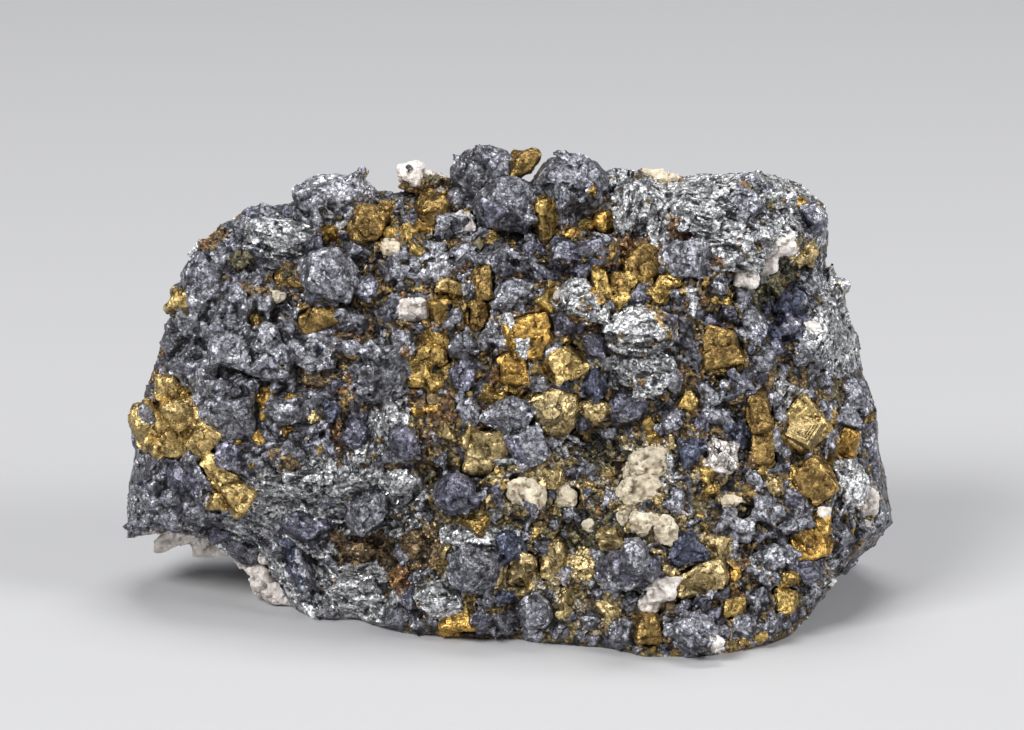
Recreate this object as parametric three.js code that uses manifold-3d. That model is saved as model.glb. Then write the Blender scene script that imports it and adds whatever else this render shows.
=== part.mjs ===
// A cabinet-sized tetrahedrite specimen: a broken block of massive grey sulphide ore whose front is a crust
// of tetrahedrite crystals and round crystal balls, with brassy chalcopyrite, white quartz and cream
// carbonate crystals set into it. It leans back a little and stands on a flat trimmed underside.
// Millimetres, +Z up. The crystal face looks along -Y, and the origin is at the middle of the base.

import * as THREE from "three";
import { ConvexGeometry } from "three/addons/geometries/ConvexGeometry.js";
import { ImprovedNoise } from "three/addons/math/ImprovedNoise.js";
import { MeshSurfaceSampler } from "three/addons/math/MeshSurfaceSampler.js";
import { mergeVertices } from "three/addons/utils/BufferGeometryUtils.js";
import Module from "manifold-3d";

const wasm = await Module();
wasm.setup();

// How the crystal face stands, and from where its sizes were read
const LEAN = THREE.MathUtils.degToRad(16);
const EYE_DISTANCE = 711;
const EYE_ACROSS = 0.3;
const EYE_UP = 37;
const READ_DEPTH = 25;

// How far the middle of the base lies behind the face's foremost point
const MIDDLE_BACK = 26.1;

// The block between its crystals: how deep its face and back lie, how the face turns away to the left, less
// so towards its top, and how full the front and back are towards the rim
const FACE_DEPTH = 8;
const FACE_TURN = 0.2;
const TURN_ENDS_UP = 90;
const BACK_DEPTH = 49;
const FRONT_MIDDLE = [3, 31];
const BACK_MIDDLE = [0, 32];
const FRONT_ROUNDNESS = 2.5;
const BACK_ROUNDNESS = 3.2;
const RIM_POINTS = 62;
const FRONT_RINGS = 9;
const BACK_RINGS = 5;
const FEWEST_RING_POINTS = 6;
const ROUGHNESS = [
  { size: 13, sideways: 1, inwards: 3 },
  { size: 4.3, sideways: 1.3, inwards: 2.4 },
];

// Flat breaks on the sides that were not crystal face: where each looks (across, back, up) and how far out
// from the origin it lies
const BREAKS = [
  { looks: [-0.5, 0.85, 0.1], out: 60 },
  { looks: [0.62, 0.78, 0.05], out: 61 },
  { looks: [0.08, 0.8, 0.6], out: 64 },
  { looks: [-0.2, 0.75, -0.63], out: 33 },
  { looks: [-0.85, 0.45, 0.25], out: 60 },
];

// Between a crystal and the pocket that it sits in, and how deep it sits as a share of its thickness
const POCKET_GAP = 0.35;
const CRYSTAL_SUNK = 0.16;

// A cut-off piece of less than this volume is dropped
const SLIVER = 1.5;

// How many corners a lump has, more where it is thicker than the limit
const LARGE_LUMP = 5.5;
const LARGE_LUMP_CORNERS = 16;
const SMALL_LUMP_CORNERS = 11;

// The small crystals on a lump: size and how far out they sit, as shares of its thickness and radius
const BRISTLE = { size: 0.14, spread: 0.1, out: 0.88 };

// The outline of the block seen from the front, clockwise from its left tip: across, up the face, and depth
// behind the foremost point. The lowest points lie just under the floor, where the base is cut.
const RIM = [
  [-48, 16.3, 29], [-48, 20, 29], [-47.2, 25, 28], [-47.4, 30, 27], [-46.2, 35, 26], [-44.5, 40.5, 25],
  [-42.4, 46, 24], [-40.6, 51, 23], [-37, 54.4, 22], [-32.5, 56.2, 21], [-27, 57.8, 20], [-21.5, 59.6, 19],
  [-15.5, 58.8, 18.5], [-10, 59.3, 18], [-5, 60, 18], [1, 60, 18], [7, 60.5, 18], [13.5, 61.4, 19],
  [18, 61.1, 20], [22, 60, 21], [27, 61, 21], [32.5, 61.2, 21], [37, 59.4, 22], [39.4, 56, 24],
  [39.2, 51.5, 26], [40.2, 47, 27], [42.4, 43, 28], [43.8, 38, 29], [44.6, 34, 30], [46.1, 28.5, 30],
  [46.5, 24, 31], [48.2, 18, 31], [47.5, 14.6, 31], [44, 13.4, 30], [40.8, 10.5, 26], [38, 6.5, 19.5],
  [34.5, 3.1, 13], [29.5, 0.4, 9], [23.5, -1.4, 6], [17.5, -0.9, 6], [13.5, 0.8, 10], [6, 1.2, 12],
  [-3, 1.8, 13.5], [-11, 2.9, 16], [-20, 4.2, 21], [-27, 5.2, 24], [-29.5, 8.6, 26], [-32, 12.6, 28],
  [-34, 14.2, 29], [-38.5, 15.3, 30], [-44, 16.4, 30],
];

// Broad swells of the face, and hollows where the push is negative: across, up, radius, push
const SWELLS = [
  [27, 56, 9, 2.5], [24, 6, 12, 2], [-40, 28, 8, 2.5], [14, 38, 8, 1.5],
  [33.5, 46.5, 5, -7], [12, 26.5, 6.5, -5.5], [8, 17, 5, -3], [-26, 44.3, 3.6, -3.5], [-9, 39, 3.5, -3],
  [-16, 12.5, 6, -3.5], [2, 53, 3.5, -3], [17, 5, 4, -2.5], [31.5, 22, 4, -2.5],
];

// Tetrahedrite balls and lumps, part of the block: across, up, width, height, turn in degrees, how far they
// stand out as a share of their thickness, and how many small crystals bristle from each
const LUMPS = [
  [-22.1, 58.3, 11, 5.8, 2, 0.55, 3], // long lump on the upper left edge
  [-3.1, 61.1, 8.6, 6.6, 10, 0.6, 3], // crown, upper left ball
  [-0.3, 57.2, 8.4, 6.6, -8, 0.75, 3], // crown, lower ball
  [7.5, 59.4, 9.3, 8.8, 0, 0.7, 4], // crown, right ball
  [-28.8, 53.2, 11.5, 5.4, -12, 0.5, 0], // silvery plate
  [-23.6, 48.2, 7.6, 5.6, -25, 0.6, 0], // lump that overhangs the tan hollow
  [9.6, 50.6, 10.5, 5.6, 0, 0.5, 2], // indigo mass
  [9.5, 44.3, 6, 5.5, 0, 0.5, 0], // pale-topped lump
  [16.4, 41.2, 11, 6.4, 8, 0.6, 0], // striated lump, upper half
  [17.6, 36, 9.4, 6.2, -20, 0.55, 0], // striated lump, lower half
  [-16.1, 36, 7.6, 7.8, 0, 0.62, 4], // ball left of the middle
  [-14, 29.8, 4.2, 9, 40, 0.5, 0], // silvery ridge under it
  [-6.9, 21.1, 6, 6, 0, 0.75, 3], // dark ball below the middle
  [14.8, 11.8, 8.4, 5.6, 12, 0.6, 3], // violet-grey lump
  [23.1, 3.6, 5.6, 5.8, 0, 0.5, 3], // lowest ball
  [3.1, 6.4, 5, 4.6, 0, 0.6, 0],
  [37.6, 55.4, 3.6, 3.4, 0, 0.6, 0], // crystal at the right shoulder
  [41.6, 22.8, 5.8, 6.8, -15, 0.5, 0], // silvery lump at the right
  [33.2, 18.6, 5, 4.6, 0, 0.55, 0],
  [37, 16.6, 5.6, 5, 0, 0.5, 0],
  [27.6, 33.6, 5.4, 3.6, -4, 0.55, 1],
  [22.4, 51, 3.8, 4, 0, 0.6, 0],
  [0.4, 31.1, 5.2, 3, 0, 0.6, 0],
  [-13.2, 27.4, 3.4, 4.6, 0, 0.55, 0],
  [-18.1, 18.2, 5.8, 4.4, 0, 0.55, 1],
  [-34.6, 39.4, 6.4, 6, 20, 0.55, 0],
  [-29, 37.2, 6, 6, -10, 0.5, 0],
  [-35.6, 33, 5.6, 5.4, 0, 0.45, 0],
  [-26.6, 32, 6.6, 5, 10, 0.5, 0],
  [-28, 25.6, 6.6, 5, 0, 0.5, 0],
  [-44.6, 21.4, 5, 5, 0, 0.4, 0],
  [44, 31.4, 4.6, 5.4, 0, 0.4, 0],
  [-39, 44.2, 2.8, 4, -20, 0.6, 0],
  [-17, 46.4, 6, 5, 0, 0.45, 0],
  [-4.4, 11, 3.6, 4.4, 0, 0.55, 0],
  [14.3, 56.6, 4, 10.4, -4, 0.45, 0], // silvery ridge beside the crown
  [40.4, 45.8, 3.4, 9.5, 12, 0.45, 0], // silvery edge below the hollow
  [23.6, 55.6, 8, 5.6, -8, 0.45, 0], // silvery shoulder
  [31.6, 57.4, 7.4, 5, 10, 0.4, 0],
  [-19.4, 9.4, 8.6, 4.4, -8, 0.5, 0], // silvery ledges at the lower left
  [-9.6, 8.2, 6.4, 4.2, 6, 0.5, 0],
  [-26.2, 11.4, 5.6, 5, -12, 0.45, 0],
  [33.6, 13, 4.6, 4, 0, 0.5, 0],
  [-37.4, 37, 4.4, 4.4, 0, 0.45, 0],
  [-40.6, 37.6, 3.6, 4, 0, 0.5, 0],
  [-31, 40.6, 4.8, 4.4, 0, 0.5, 0],
];

// Chalcopyrite crystals by cluster: across, up, width, height, turn and, on the rim, depth
const CHALCOPYRITE = {
  left_star: [
    [-42.4, 33.6, 3.2, 3.6, 15], [-44.6, 29.6, 4.2, 6, 20], [-40.4, 31.4, 6, 3.8, 25],
    [-42.2, 27, 4, 4, -10], [-38.6, 28.2, 3.6, 4.6, -35],
  ],
  left_bar: [[-36.8, 24.4, 3, 5, 35], [-34.6, 21.4, 3.4, 5.6, 40], [-36.6, 20, 2.4, 3, 0]],
  left_edge: [[-41.2, 45.2, 3.2, 3.4, 0]],
  tan_hollow: [[-27.6, 48.3, 3.4, 2.4, -5]],
  upper_left: [[-17.4, 54.6, 4.4, 5.6, -10]],
  crown_bead: [[1.9, 62.2, 3.7, 3.6, 0, 14.5]],
  upper_ball: [[-9.6, 56, 4.6, 4.6, 0], [-9.3, 58.2, 2.6, 2.4, 0]],
  under_crown: [[11.9, 54.8, 3, 2.4, 10]],
  bright_stud: [[11.1, 46.8, 2.4, 4.4, 12]],
  upper_right: [[16.3, 49.6, 4.4, 4.4, 30], [13.8, 47, 2.8, 3.2, -20]],
  upper_right_chip: [[19.8, 47.6, 3.4, 2.4, 0]],
  amber_chip: [[-7.5, 46.4, 3.6, 2.6, -10]],
  amber_vein: [[-3.4, 47.2, 2.6, 4.6, 10], [-3.9, 43.6, 2.6, 4, -10]],
  tan_field: [[-23.4, 43.2, 6, 3, 12]],
  middle: [[2.3, 40.9, 6.2, 5.6, 10], [0.4, 36.9, 3.4, 5.2, 10], [6.8, 37.2, 4.8, 4.8, 30]],
  middle_left: [[-11.2, 35.8, 3, 3.8, 0], [-9.6, 38, 4.6, 2.6, 15]],
  olive_dome: [[5, 31.2, 6.8, 5, -6]],
  olive_chip: [[10.5, 31.8, 3.6, 2.8, 0]],
  lower_middle: [[-1.3, 27.4, 6.6, 4.6, 10], [-3.8, 24.6, 4, 4, -20]],
  right_block: [[26.5, 39.2, 5, 6, 6]],
  right_blade: [[31.2, 31, 3, 5.4, 8], [31.6, 26.6, 3.2, 5.4, 0]],
  right_pyramid: [[36.6, 29.2, 6, 6.2, 45]],
  right_prism: [[42, 27.4, 3, 5, -25]],
  right_wedge: [[37.9, 22.8, 5.6, 5.8, 40]],
  lower_right: [[37.4, 14.2, 5.8, 3.8, 15], [38.9, 17.4, 2.2, 3.8, 10]],
  lower_long: [[24.1, 10.3, 7.2, 4.2, 15]],
  lower_bead: [[28, 6.6, 3, 2.4, 0]],
  lower_edge: [[34.4, 7.6, 2.6, 3.6, 0]],
  bottom_block: [[17.4, 3.8, 3.8, 4, 10]],
  bottom_left: [[-6.6, 4.8, 4.2, 2.8, 0]],
  olive_long: [[5.2, 12.4, 3.6, 5.2, 5]],
  olive_short: [[1.4, 11.6, 2.6, 4.4, -8]],
};

// Quartz crystals by cluster, in the same terms
const QUARTZ = {
  top_point: [[-12.5, 60.8, 3.1, 3.6, 0, 17], [-10.2, 60, 5, 2.4, 0, 18]],
  top_chip: [[-5.5, 54.8, 2.7, 3, 0]],
  upper_left: [[-11.8, 44, 4.6, 3, -8]],
  hollow_row: [[29.4, 47.9, 3.2, 2.5, 0], [32.2, 49.8, 2.7, 2.7, 0], [34.2, 51.9, 3.4, 2.3, 20]],
  right_white: [[26.2, 25.5, 3.9, 4.8, 0]],
  right_edge: [[44.7, 20.2, 2.8, 4.4, 0]],
  lower_white: [[19.5, 9, 4.4, 3.6, 0], [17.6, 6.9, 3.4, 2.8, 0]],
  edge_vein: [
    [-32.8, 13.6, 2.6, 4, 30, 28.2], [-31, 10.6, 2.8, 4.6, 25, 26.6], [-28.9, 8, 3, 4.4, 35, 25],
  ],
  under_vein: [[-41.6, 15.6, 5.4, 2.4, 12, 29.6], [-37.2, 14.9, 5.2, 2.6, -6, 30]],
};

// Cream carbonate crystals by cluster, in the same terms
const CARBONATE = {
  left: [[-23, 49.2, 2.4, 3.6, 25]],
  middle: [[1.9, 21.4, 4.6, 3.6, -15]],
  small: [[7.2, 20.8, 3.2, 2.6, 0]],
  large: [[17.9, 24.6, 5.6, 4, 10], [16.2, 21.2, 4.8, 4.4, 0]],
};

// Small tetrahedrite crystals scattered over the whole block
const DRUSE = { count: 16, smallest: 3.5, largest: 8, corners: 9, sunk: 0.12, seed: 7 };

const MATERIALS = {
  tetrahedrite: { color: 0x5b5e69, roughness: 0.42, metalness: 0.7 },
  chalcopyrite: { color: 0xa87e36, roughness: 0.38, metalness: 0.8 },
  quartz: { color: 0xdccdc3, roughness: 0.35, metalness: 0 },
  carbonate: { color: 0xcdb68c, roughness: 0.65, metalness: 0 },
};

const INTO_STONE = new THREE.Vector3(0, Math.cos(LEAN), -Math.sin(LEAN));
const UP_FACE = new THREE.Vector3(0, Math.sin(LEAN), Math.cos(LEAN));
const noise = new ImprovedNoise();

// A point of the stone, from where it is seen across and up the face and how deep it lies
function facePoint(across, up, depth) {
  const spread = 1 + (depth - READ_DEPTH) / EYE_DISTANCE;
  const trueUp = EYE_UP + (up - EYE_UP) * spread;
  return new THREE.Vector3(EYE_ACROSS + (across - EYE_ACROSS) * spread, 0, 0)
    .addScaledVector(UP_FACE, trueUp)
    .addScaledVector(INTO_STONE, depth);
}

// Random numbers that repeat for the same seed
function randomFrom(seed) {
  let state = seed;
  return () => {
    state = (state + 0x6d2b79f5) | 0;
    let t = Math.imul(state ^ (state >>> 15), 1 | state);
    t = (t + Math.imul(t ^ (t >>> 7), 61 | t)) ^ t;
    return ((t ^ (t >>> 14)) >>> 0) / 4294967296;
  };
}

function solidOf(geometry) {
  const bare = new THREE.BufferGeometry();
  bare.setAttribute("position", geometry.getAttribute("position"));
  bare.setIndex(geometry.getIndex());
  const merged = mergeVertices(bare, 1e-4);
  return new wasm.Manifold(
    new wasm.Mesh({
      numProp: 3,
      vertProperties: new Float32Array(merged.getAttribute("position").array),
      triVerts: new Uint32Array(merged.getIndex().array),
    }),
  );
}

function geometryOf(solid) {
  const { numProp, vertProperties, triVerts } = solid.getMesh();
  const positions = new Float32Array((vertProperties.length / numProp) * 3);
  for (let i = 0; i < positions.length / 3; i++) {
    positions.set(vertProperties.subarray(i * numProp, i * numProp + 3), i * 3);
  }
  const geometry = new THREE.BufferGeometry();
  geometry.setAttribute("position", new THREE.BufferAttribute(positions, 3));
  geometry.setIndex(new THREE.BufferAttribute(new Uint32Array(triVerts), 1));
  return geometry;
}

// Depth of the broad front surface, which turns away to the left and carries the swells
function frontDepth(across, up) {
  const turned = FACE_DEPTH - FACE_TURN * across * (1 - up / TURN_ENDS_UP);
  return SWELLS.reduce((depth, [u, v, radius, push]) => {
    const near = ((across - u) ** 2 + (up - v) ** 2) / radius ** 2;
    return depth - push * Math.exp(-near);
  }, turned);
}

// Depth of the back, which stands upright behind the leaning face
function backDepth(up) {
  return (BACK_DEPTH - up * Math.sin(LEAN)) / Math.cos(LEAN);
}

// One ring of the block, at a share of the way from its middle to its rim, with fewer points further in
function ring(curve, share, [middleAcross, middleUp], roundness, depthAt) {
  const rise = 1 - (1 - share ** roundness) ** (1 / roundness);
  const count = Math.max(FEWEST_RING_POINTS, Math.round(RIM_POINTS * share));
  return Array.from({ length: count }, (_, i) => {
    const edge = curve.getPointAt(i / count);
    const across = THREE.MathUtils.lerp(middleAcross, edge.x, share);
    const up = THREE.MathUtils.lerp(middleUp, edge.y, share);
    return [across, up, THREE.MathUtils.lerp(depthAt(across, up), edge.z, rise)];
  });
}

function roughened([across, up, depth]) {
  const moved = [across, up, depth];
  for (const { size, sideways, inwards } of ROUGHNESS) {
    [sideways, sideways, inwards].forEach((reach, axis) => {
      moved[axis] += reach * noise.noise(across / size + 7 * axis, up / size, depth / size);
    });
  }
  return facePoint(...moved);
}

// Triangles between two neighbouring rings, which may have different numbers of points
function stitch(inner, outer, faces) {
  let [i, o] = [0, 0];
  while (i < inner.count || o < outer.count) {
    const a = inner.first + (i % inner.count);
    const b = outer.first + (o % outer.count);
    if (o < outer.count && (o + 0.5) / outer.count <= (i + 0.5) / inner.count) {
      faces.push(a, outer.first + ((o + 1) % outer.count), b);
      o++;
    } else {
      faces.push(a, inner.first + ((i + 1) % inner.count), b);
      i++;
    }
  }
}

// Shares of the way out, closer together near the rim
function shares(count) {
  return Array.from({ length: count }, (_, i) => 1 - (1 - (i + 1) / count) ** 1.5);
}

// The block itself: rings from the middle of the front, over the rim, to the middle of the back
function block() {
  const curve = new THREE.CatmullRomCurve3(
    RIM.map((point) => new THREE.Vector3(...point)), true, "centripetal",
  );
  const front = shares(FRONT_RINGS).map((share) =>
    ring(curve, share, FRONT_MIDDLE, FRONT_ROUNDNESS, frontDepth),
  );
  const back = shares(BACK_RINGS).slice(0, -1).map((share) =>
    ring(curve, share, BACK_MIDDLE, BACK_ROUNDNESS, (_, up) => backDepth(up)),
  );
  front.unshift([[...FRONT_MIDDLE, frontDepth(...FRONT_MIDDLE)]]);
  back.unshift([[...BACK_MIDDLE, backDepth(BACK_MIDDLE[1])]]);

  const points = [];
  const faces = [];
  const rings = [...front, ...back.reverse()].map((ringPoints) => {
    const first = points.length;
    points.push(...ringPoints);
    return { first, count: ringPoints.length };
  });
  for (let r = 1; r < rings.length; r++) stitch(rings[r - 1], rings[r], faces);
  const geometry = new THREE.BufferGeometry().setFromPoints(points.map(roughened));
  geometry.setIndex(faces);
  return BREAKS.reduce(
    (solid, { looks, out }) => solid.trimByPlane(looks.map((part) => -part), -out),
    solidOf(geometry),
  );
}

// A broken, blocky crystal: a box with its corners pulled in and a point at each end
function brokenBlock(random) {
  const points = [];
  for (const x of [-1, 1]) {
    for (const y of [-1, 1]) {
      for (const z of [-1, 1]) {
        const pull = () => 0.55 + 0.45 * random();
        points.push(new THREE.Vector3(x * pull(), y * pull(), z * pull()));
      }
    }
  }
  const tilt = 0.5 * random();
  points.push(new THREE.Vector3(1, 0, tilt), new THREE.Vector3(-1, 0, -tilt));
  return points;
}

// A round lump with flat spots: points spread evenly over a ball, each pulled in a little
function lumpPoints(random, count) {
  const turn = Math.PI * (3 - Math.sqrt(5));
  return Array.from({ length: count }, (_, i) => {
    const z = 1 - (2 * i + 1) / count;
    const radius = Math.sqrt(1 - z * z);
    return new THREE.Vector3(radius * Math.cos(turn * i), radius * Math.sin(turn * i), z)
      .multiplyScalar(0.86 + 0.16 * random());
  });
}

// A tetrahedron with a broad cut across one corner, the habit that tetrahedrite is named for
function tetrahedronPoints(random) {
  const tip = new THREE.Vector3(1, 1, 1);
  const base = [[1, -1, -1], [-1, 1, -1], [-1, -1, 1]].map((corner) => new THREE.Vector3(...corner));
  const cut = 0.4 + 0.25 * random();
  return [...base, ...base.map((corner) => tip.clone().lerp(corner, cut))];
}

function randomTurn(random) {
  const euler = new THREE.Euler(random() * Math.PI * 2, random() * Math.PI * 2, random() * Math.PI * 2);
  return new THREE.Quaternion().setFromEuler(euler);
}

function hull(points, matrix) {
  return solidOf(new ConvexGeometry(points.map((point) => point.clone().applyMatrix4(matrix))));
}

// The place, on the face of a mesh, of a thing seen at a point across and up. Where the line of sight just
// misses the mesh, the depth is that of its nearest part towards the middle.
function surfaceUnder(mesh, across, up) {
  for (let share = 1; share > 0.8; share -= 0.02) {
    const seen = FRONT_MIDDLE.map((middle, i) => THREE.MathUtils.lerp(middle, [across, up][i], share));
    const eye = facePoint(...seen, -READ_DEPTH);
    const aim = facePoint(...seen, READ_DEPTH).sub(eye);
    const [hit] = new THREE.Raycaster(eye, aim.clone().normalize()).intersectObject(mesh);
    if (hit) return facePoint(across, up, READ_DEPTH * ((2 * hit.distance) / aim.length() - 1));
  }
  throw new Error(`nothing lies near ${across}, ${up}`);
}

// Sizes of a crystal, set across, into and up the face, turned about the line of sight
function onFace(centre, width, thickness, height, turnDegrees) {
  const turned = new THREE.Matrix4().makeRotationY(-THREE.MathUtils.degToRad(turnDegrees));
  return new THREE.Matrix4()
    .makeBasis(new THREE.Vector3(1, 0, 0), INTO_STONE, UP_FACE)
    .setPosition(centre)
    .multiply(turned)
    .multiply(new THREE.Matrix4().makeScale(width / 2, thickness / 2, height / 2));
}

// One tetrahedrite lump, with small crystals bristling from its outer side
function lump(mesh, [across, up, width, height, turn, proud, bristles], random) {
  const thickness = Math.min(width, height) * 1.05;
  const centre = surfaceUnder(mesh, across, up).addScaledVector(INTO_STONE, thickness * (0.5 - proud));
  const matrix = onFace(centre, width, thickness, height, turn);
  const corners = thickness > LARGE_LUMP ? LARGE_LUMP_CORNERS : SMALL_LUMP_CORNERS;
  const solids = [hull(lumpPoints(random, corners), matrix)];
  for (let i = 0; i < bristles; i++) {
    const side = new THREE.Vector3(random() * 2 - 1, -0.35 - random() * 0.6, random() * 2 - 1).normalize();
    const place = side.multiplyScalar(BRISTLE.out).applyMatrix4(matrix);
    const size = thickness * (BRISTLE.size + BRISTLE.spread * random());
    const scale = new THREE.Vector3().setScalar(size);
    const crystal = new THREE.Matrix4().compose(place, randomTurn(random), scale);
    solids.push(hull(tetrahedronPoints(random), crystal));
  }
  return solids;
}

// The crystals of one cluster joined into a solid, each made larger all round by a gap
function cluster(mesh, crystals, seed, gap = 0) {
  const random = randomFrom(seed);
  const solids = crystals.map(([across, up, width, height, turn, depth]) => {
    const thickness = 0.5 * (width + height);
    const centre = depth === undefined
      ? surfaceUnder(mesh, across, up).addScaledVector(INTO_STONE, CRYSTAL_SUNK * thickness)
      : facePoint(across, up, depth);
    const grown = [width, thickness, height].map((size) => size + 2 * gap);
    return hull(brokenBlock(random), onFace(centre, ...grown, turn));
  });
  return wasm.Manifold.union(solids);
}

// Small tetrahedrite crystals all over a mesh, kept clear of the points given
function druse(mesh, taken) {
  const random = randomFrom(DRUSE.seed);
  const sampler = new MeshSurfaceSampler(mesh).setRandomGenerator(random).build();
  const solids = [];
  const point = new THREE.Vector3();
  const outward = new THREE.Vector3();
  while (solids.length < DRUSE.count) {
    sampler.sample(point, outward);
    const size = THREE.MathUtils.lerp(DRUSE.smallest, DRUSE.largest, random() ** 2);
    const turn = randomTurn(random);
    if (taken.some(({ centre, radius }) => centre.distanceTo(point) < radius + size * 0.6)) continue;
    const centre = point.clone().addScaledVector(outward, -DRUSE.sunk * size);
    const matrix = new THREE.Matrix4().compose(centre, turn, new THREE.Vector3().setScalar(size / 2));
    solids.push(hull(lumpPoints(random, DRUSE.corners), matrix));
  }
  return solids;
}

// The separate bodies of a solid that are more than slivers, the largest first
function pieces(solid) {
  return solid
    .decompose()
    .filter((piece) => piece.volume() > SLIVER)
    .sort((a, b) => b.volume() - a.volume());
}

// The trimmed underside: everything under the floor is cut away
function aboveFloor(solid) {
  return solid.trimByPlane([0, 0, 1], 0);
}

// The block with its lumps and druse, pocketed for the crystals of the other minerals, and those crystals
function specimen() {
  const random = randomFrom(3);
  const plain = block();
  const plainMesh = new THREE.Mesh(geometryOf(plain));
  let body = wasm.Manifold.union([plain, ...LUMPS.flatMap((spec) => lump(plainMesh, spec, random))]);
  const bodyMesh = new THREE.Mesh(geometryOf(body));

  const species = { chalcopyrite: CHALCOPYRITE, quartz: QUARTZ, carbonate: CARBONATE };
  const nodes = [];
  const pockets = [];
  const taken = [];
  for (const [mineral, clusters] of Object.entries(species)) {
    Object.entries(clusters).forEach(([place, crystals], i) => {
      const seed = 100 * mineral.length + i;
      let solid = cluster(bodyMesh, crystals, seed);
      if (pockets.length) solid = solid.subtract(wasm.Manifold.union(pockets));
      pockets.push(cluster(bodyMesh, crystals, seed, POCKET_GAP));
      pieces(aboveFloor(solid)).forEach((piece, n, all) => {
        const name = `${mineral}_${place}${all.length > 1 ? `_${n + 1}` : ""}`;
        nodes.push({ name, mineral, solid: piece });
      });
      const box = new THREE.Box3().setFromObject(new THREE.Mesh(geometryOf(solid)));
      const sphere = box.getBoundingSphere(new THREE.Sphere());
      taken.push({ centre: sphere.center, radius: sphere.radius * 0.8 });
    });
  }
  body = body.add(wasm.Manifold.union(druse(bodyMesh, taken))).subtract(wasm.Manifold.union(pockets));
  nodes.unshift({ name: "tetrahedrite_block", mineral: "tetrahedrite", solid: pieces(aboveFloor(body))[0] });
  return nodes;
}

const group = new THREE.Group();
group.name = "tetrahedrite_specimen";
group.position.set(0, -MIDDLE_BACK, 0);
for (const { name, mineral, solid } of specimen()) {
  const mesh = new THREE.Mesh(geometryOf(solid), new THREE.MeshStandardMaterial(MATERIALS[mineral]));
  mesh.name = name;
  group.add(mesh);
}

export default group;
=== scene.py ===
"""The looks of a cabinet-sized tetrahedrite specimen: a block of broken grey ore whose face is crusted with
tetrahedrite crystals and crystal balls, with brassy chalcopyrite, rust, white quartz and cream carbonate
between them. Sizes are in millimetres here and become metres in the meshes."""

import itertools
import math

import bpy
import numpy as np
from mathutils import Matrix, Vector
from mathutils.bvhtree import BVHTree


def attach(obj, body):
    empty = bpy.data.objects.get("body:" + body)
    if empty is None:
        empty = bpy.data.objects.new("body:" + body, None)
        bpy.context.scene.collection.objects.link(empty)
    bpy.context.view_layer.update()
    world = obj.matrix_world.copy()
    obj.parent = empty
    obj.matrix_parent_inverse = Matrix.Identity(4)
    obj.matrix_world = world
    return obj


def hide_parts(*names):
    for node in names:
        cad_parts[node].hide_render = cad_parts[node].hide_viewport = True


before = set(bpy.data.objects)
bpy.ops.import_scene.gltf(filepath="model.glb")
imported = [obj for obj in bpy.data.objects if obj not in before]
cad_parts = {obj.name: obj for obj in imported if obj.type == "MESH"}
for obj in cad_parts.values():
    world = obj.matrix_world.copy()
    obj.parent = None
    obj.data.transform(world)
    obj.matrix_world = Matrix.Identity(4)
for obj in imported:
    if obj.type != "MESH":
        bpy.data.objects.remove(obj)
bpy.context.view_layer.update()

MM = 0.001

# How the crystal face leans, and the eye that its sizes were read from: its distance, its place across and up
# the face, the depth of the sizes, how far the base's middle lies behind the face's foremost point, the width
# that the frame shows, and the point of the face in its middle
LEAN = math.radians(16)
EYE_DISTANCE = 711
EYE_ACROSS = 0.3
EYE_UP = 37
READ_DEPTH = 25
MIDDLE_BACK = 26.1
FRAME_WIDTH = 128
AIMED_AT = (0.25, 37.1)

# The depth of a point well in front of the face, where lines of sight start
IN_FRONT = -40

# The point that the lights shine at, in metres
LIT_AT = (0, 0, 0.03)

INTO_STONE = np.array([0, math.cos(LEAN), -math.sin(LEAN)])
UP_FACE = np.array([0, math.sin(LEAN), math.cos(LEAN)])

# How finely the masses are modelled: the grain of each even mesh, its most triangles, where the ore is cut
# into pieces, how far the solids are swollen, and the fewest corners of a bit that isn't a speck
ORE_VOXEL = 0.25
ORE_TRIANGLES = 600000
ORE_CUTS = (-23, -1, 21)
MASS_VOXEL = 0.31
LUMP_TRIANGLES = 95000
SOLID_VOXEL = 0.21
SOLID_TRIANGLES = 85000
SOLID_GROWTH = 0.15
PALE_TRIANGLES = 36000
SPECK_CORNERS = 60

# How far the construction's solids bend out of their straight shapes: the swells and the shift, and the
# smaller shift of the sharp crystals at the right
WARP_SWELL = 2.6
WARP_SHIFT = 0.75
WARP_SHIFT_RIGHT = 0.22
SHARP_FROM = 29

# The sizes and heights of the broken facets of each family of minerals, and how steeply facets tilt
FACETS = {
    "tetrahedrite": [(1.9, 0.12), (0.8, 0.03)],
    "silver": [(1.3, 0.14), (0.6, 0.08)],
    "chalcopyrite": [(2.2, 0.12), (0.8, 0.04)],
    "rusty": [(1.4, 0.14), (0.6, 0.08)],
    "carbonate": [(1.7, 0.24), (0.7, 0.10)],
    "quartz": [(1.5, 0.16), (0.8, 0.06)],
}
FACET_TILT = 0.9
FACET_SEED = 3

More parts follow.
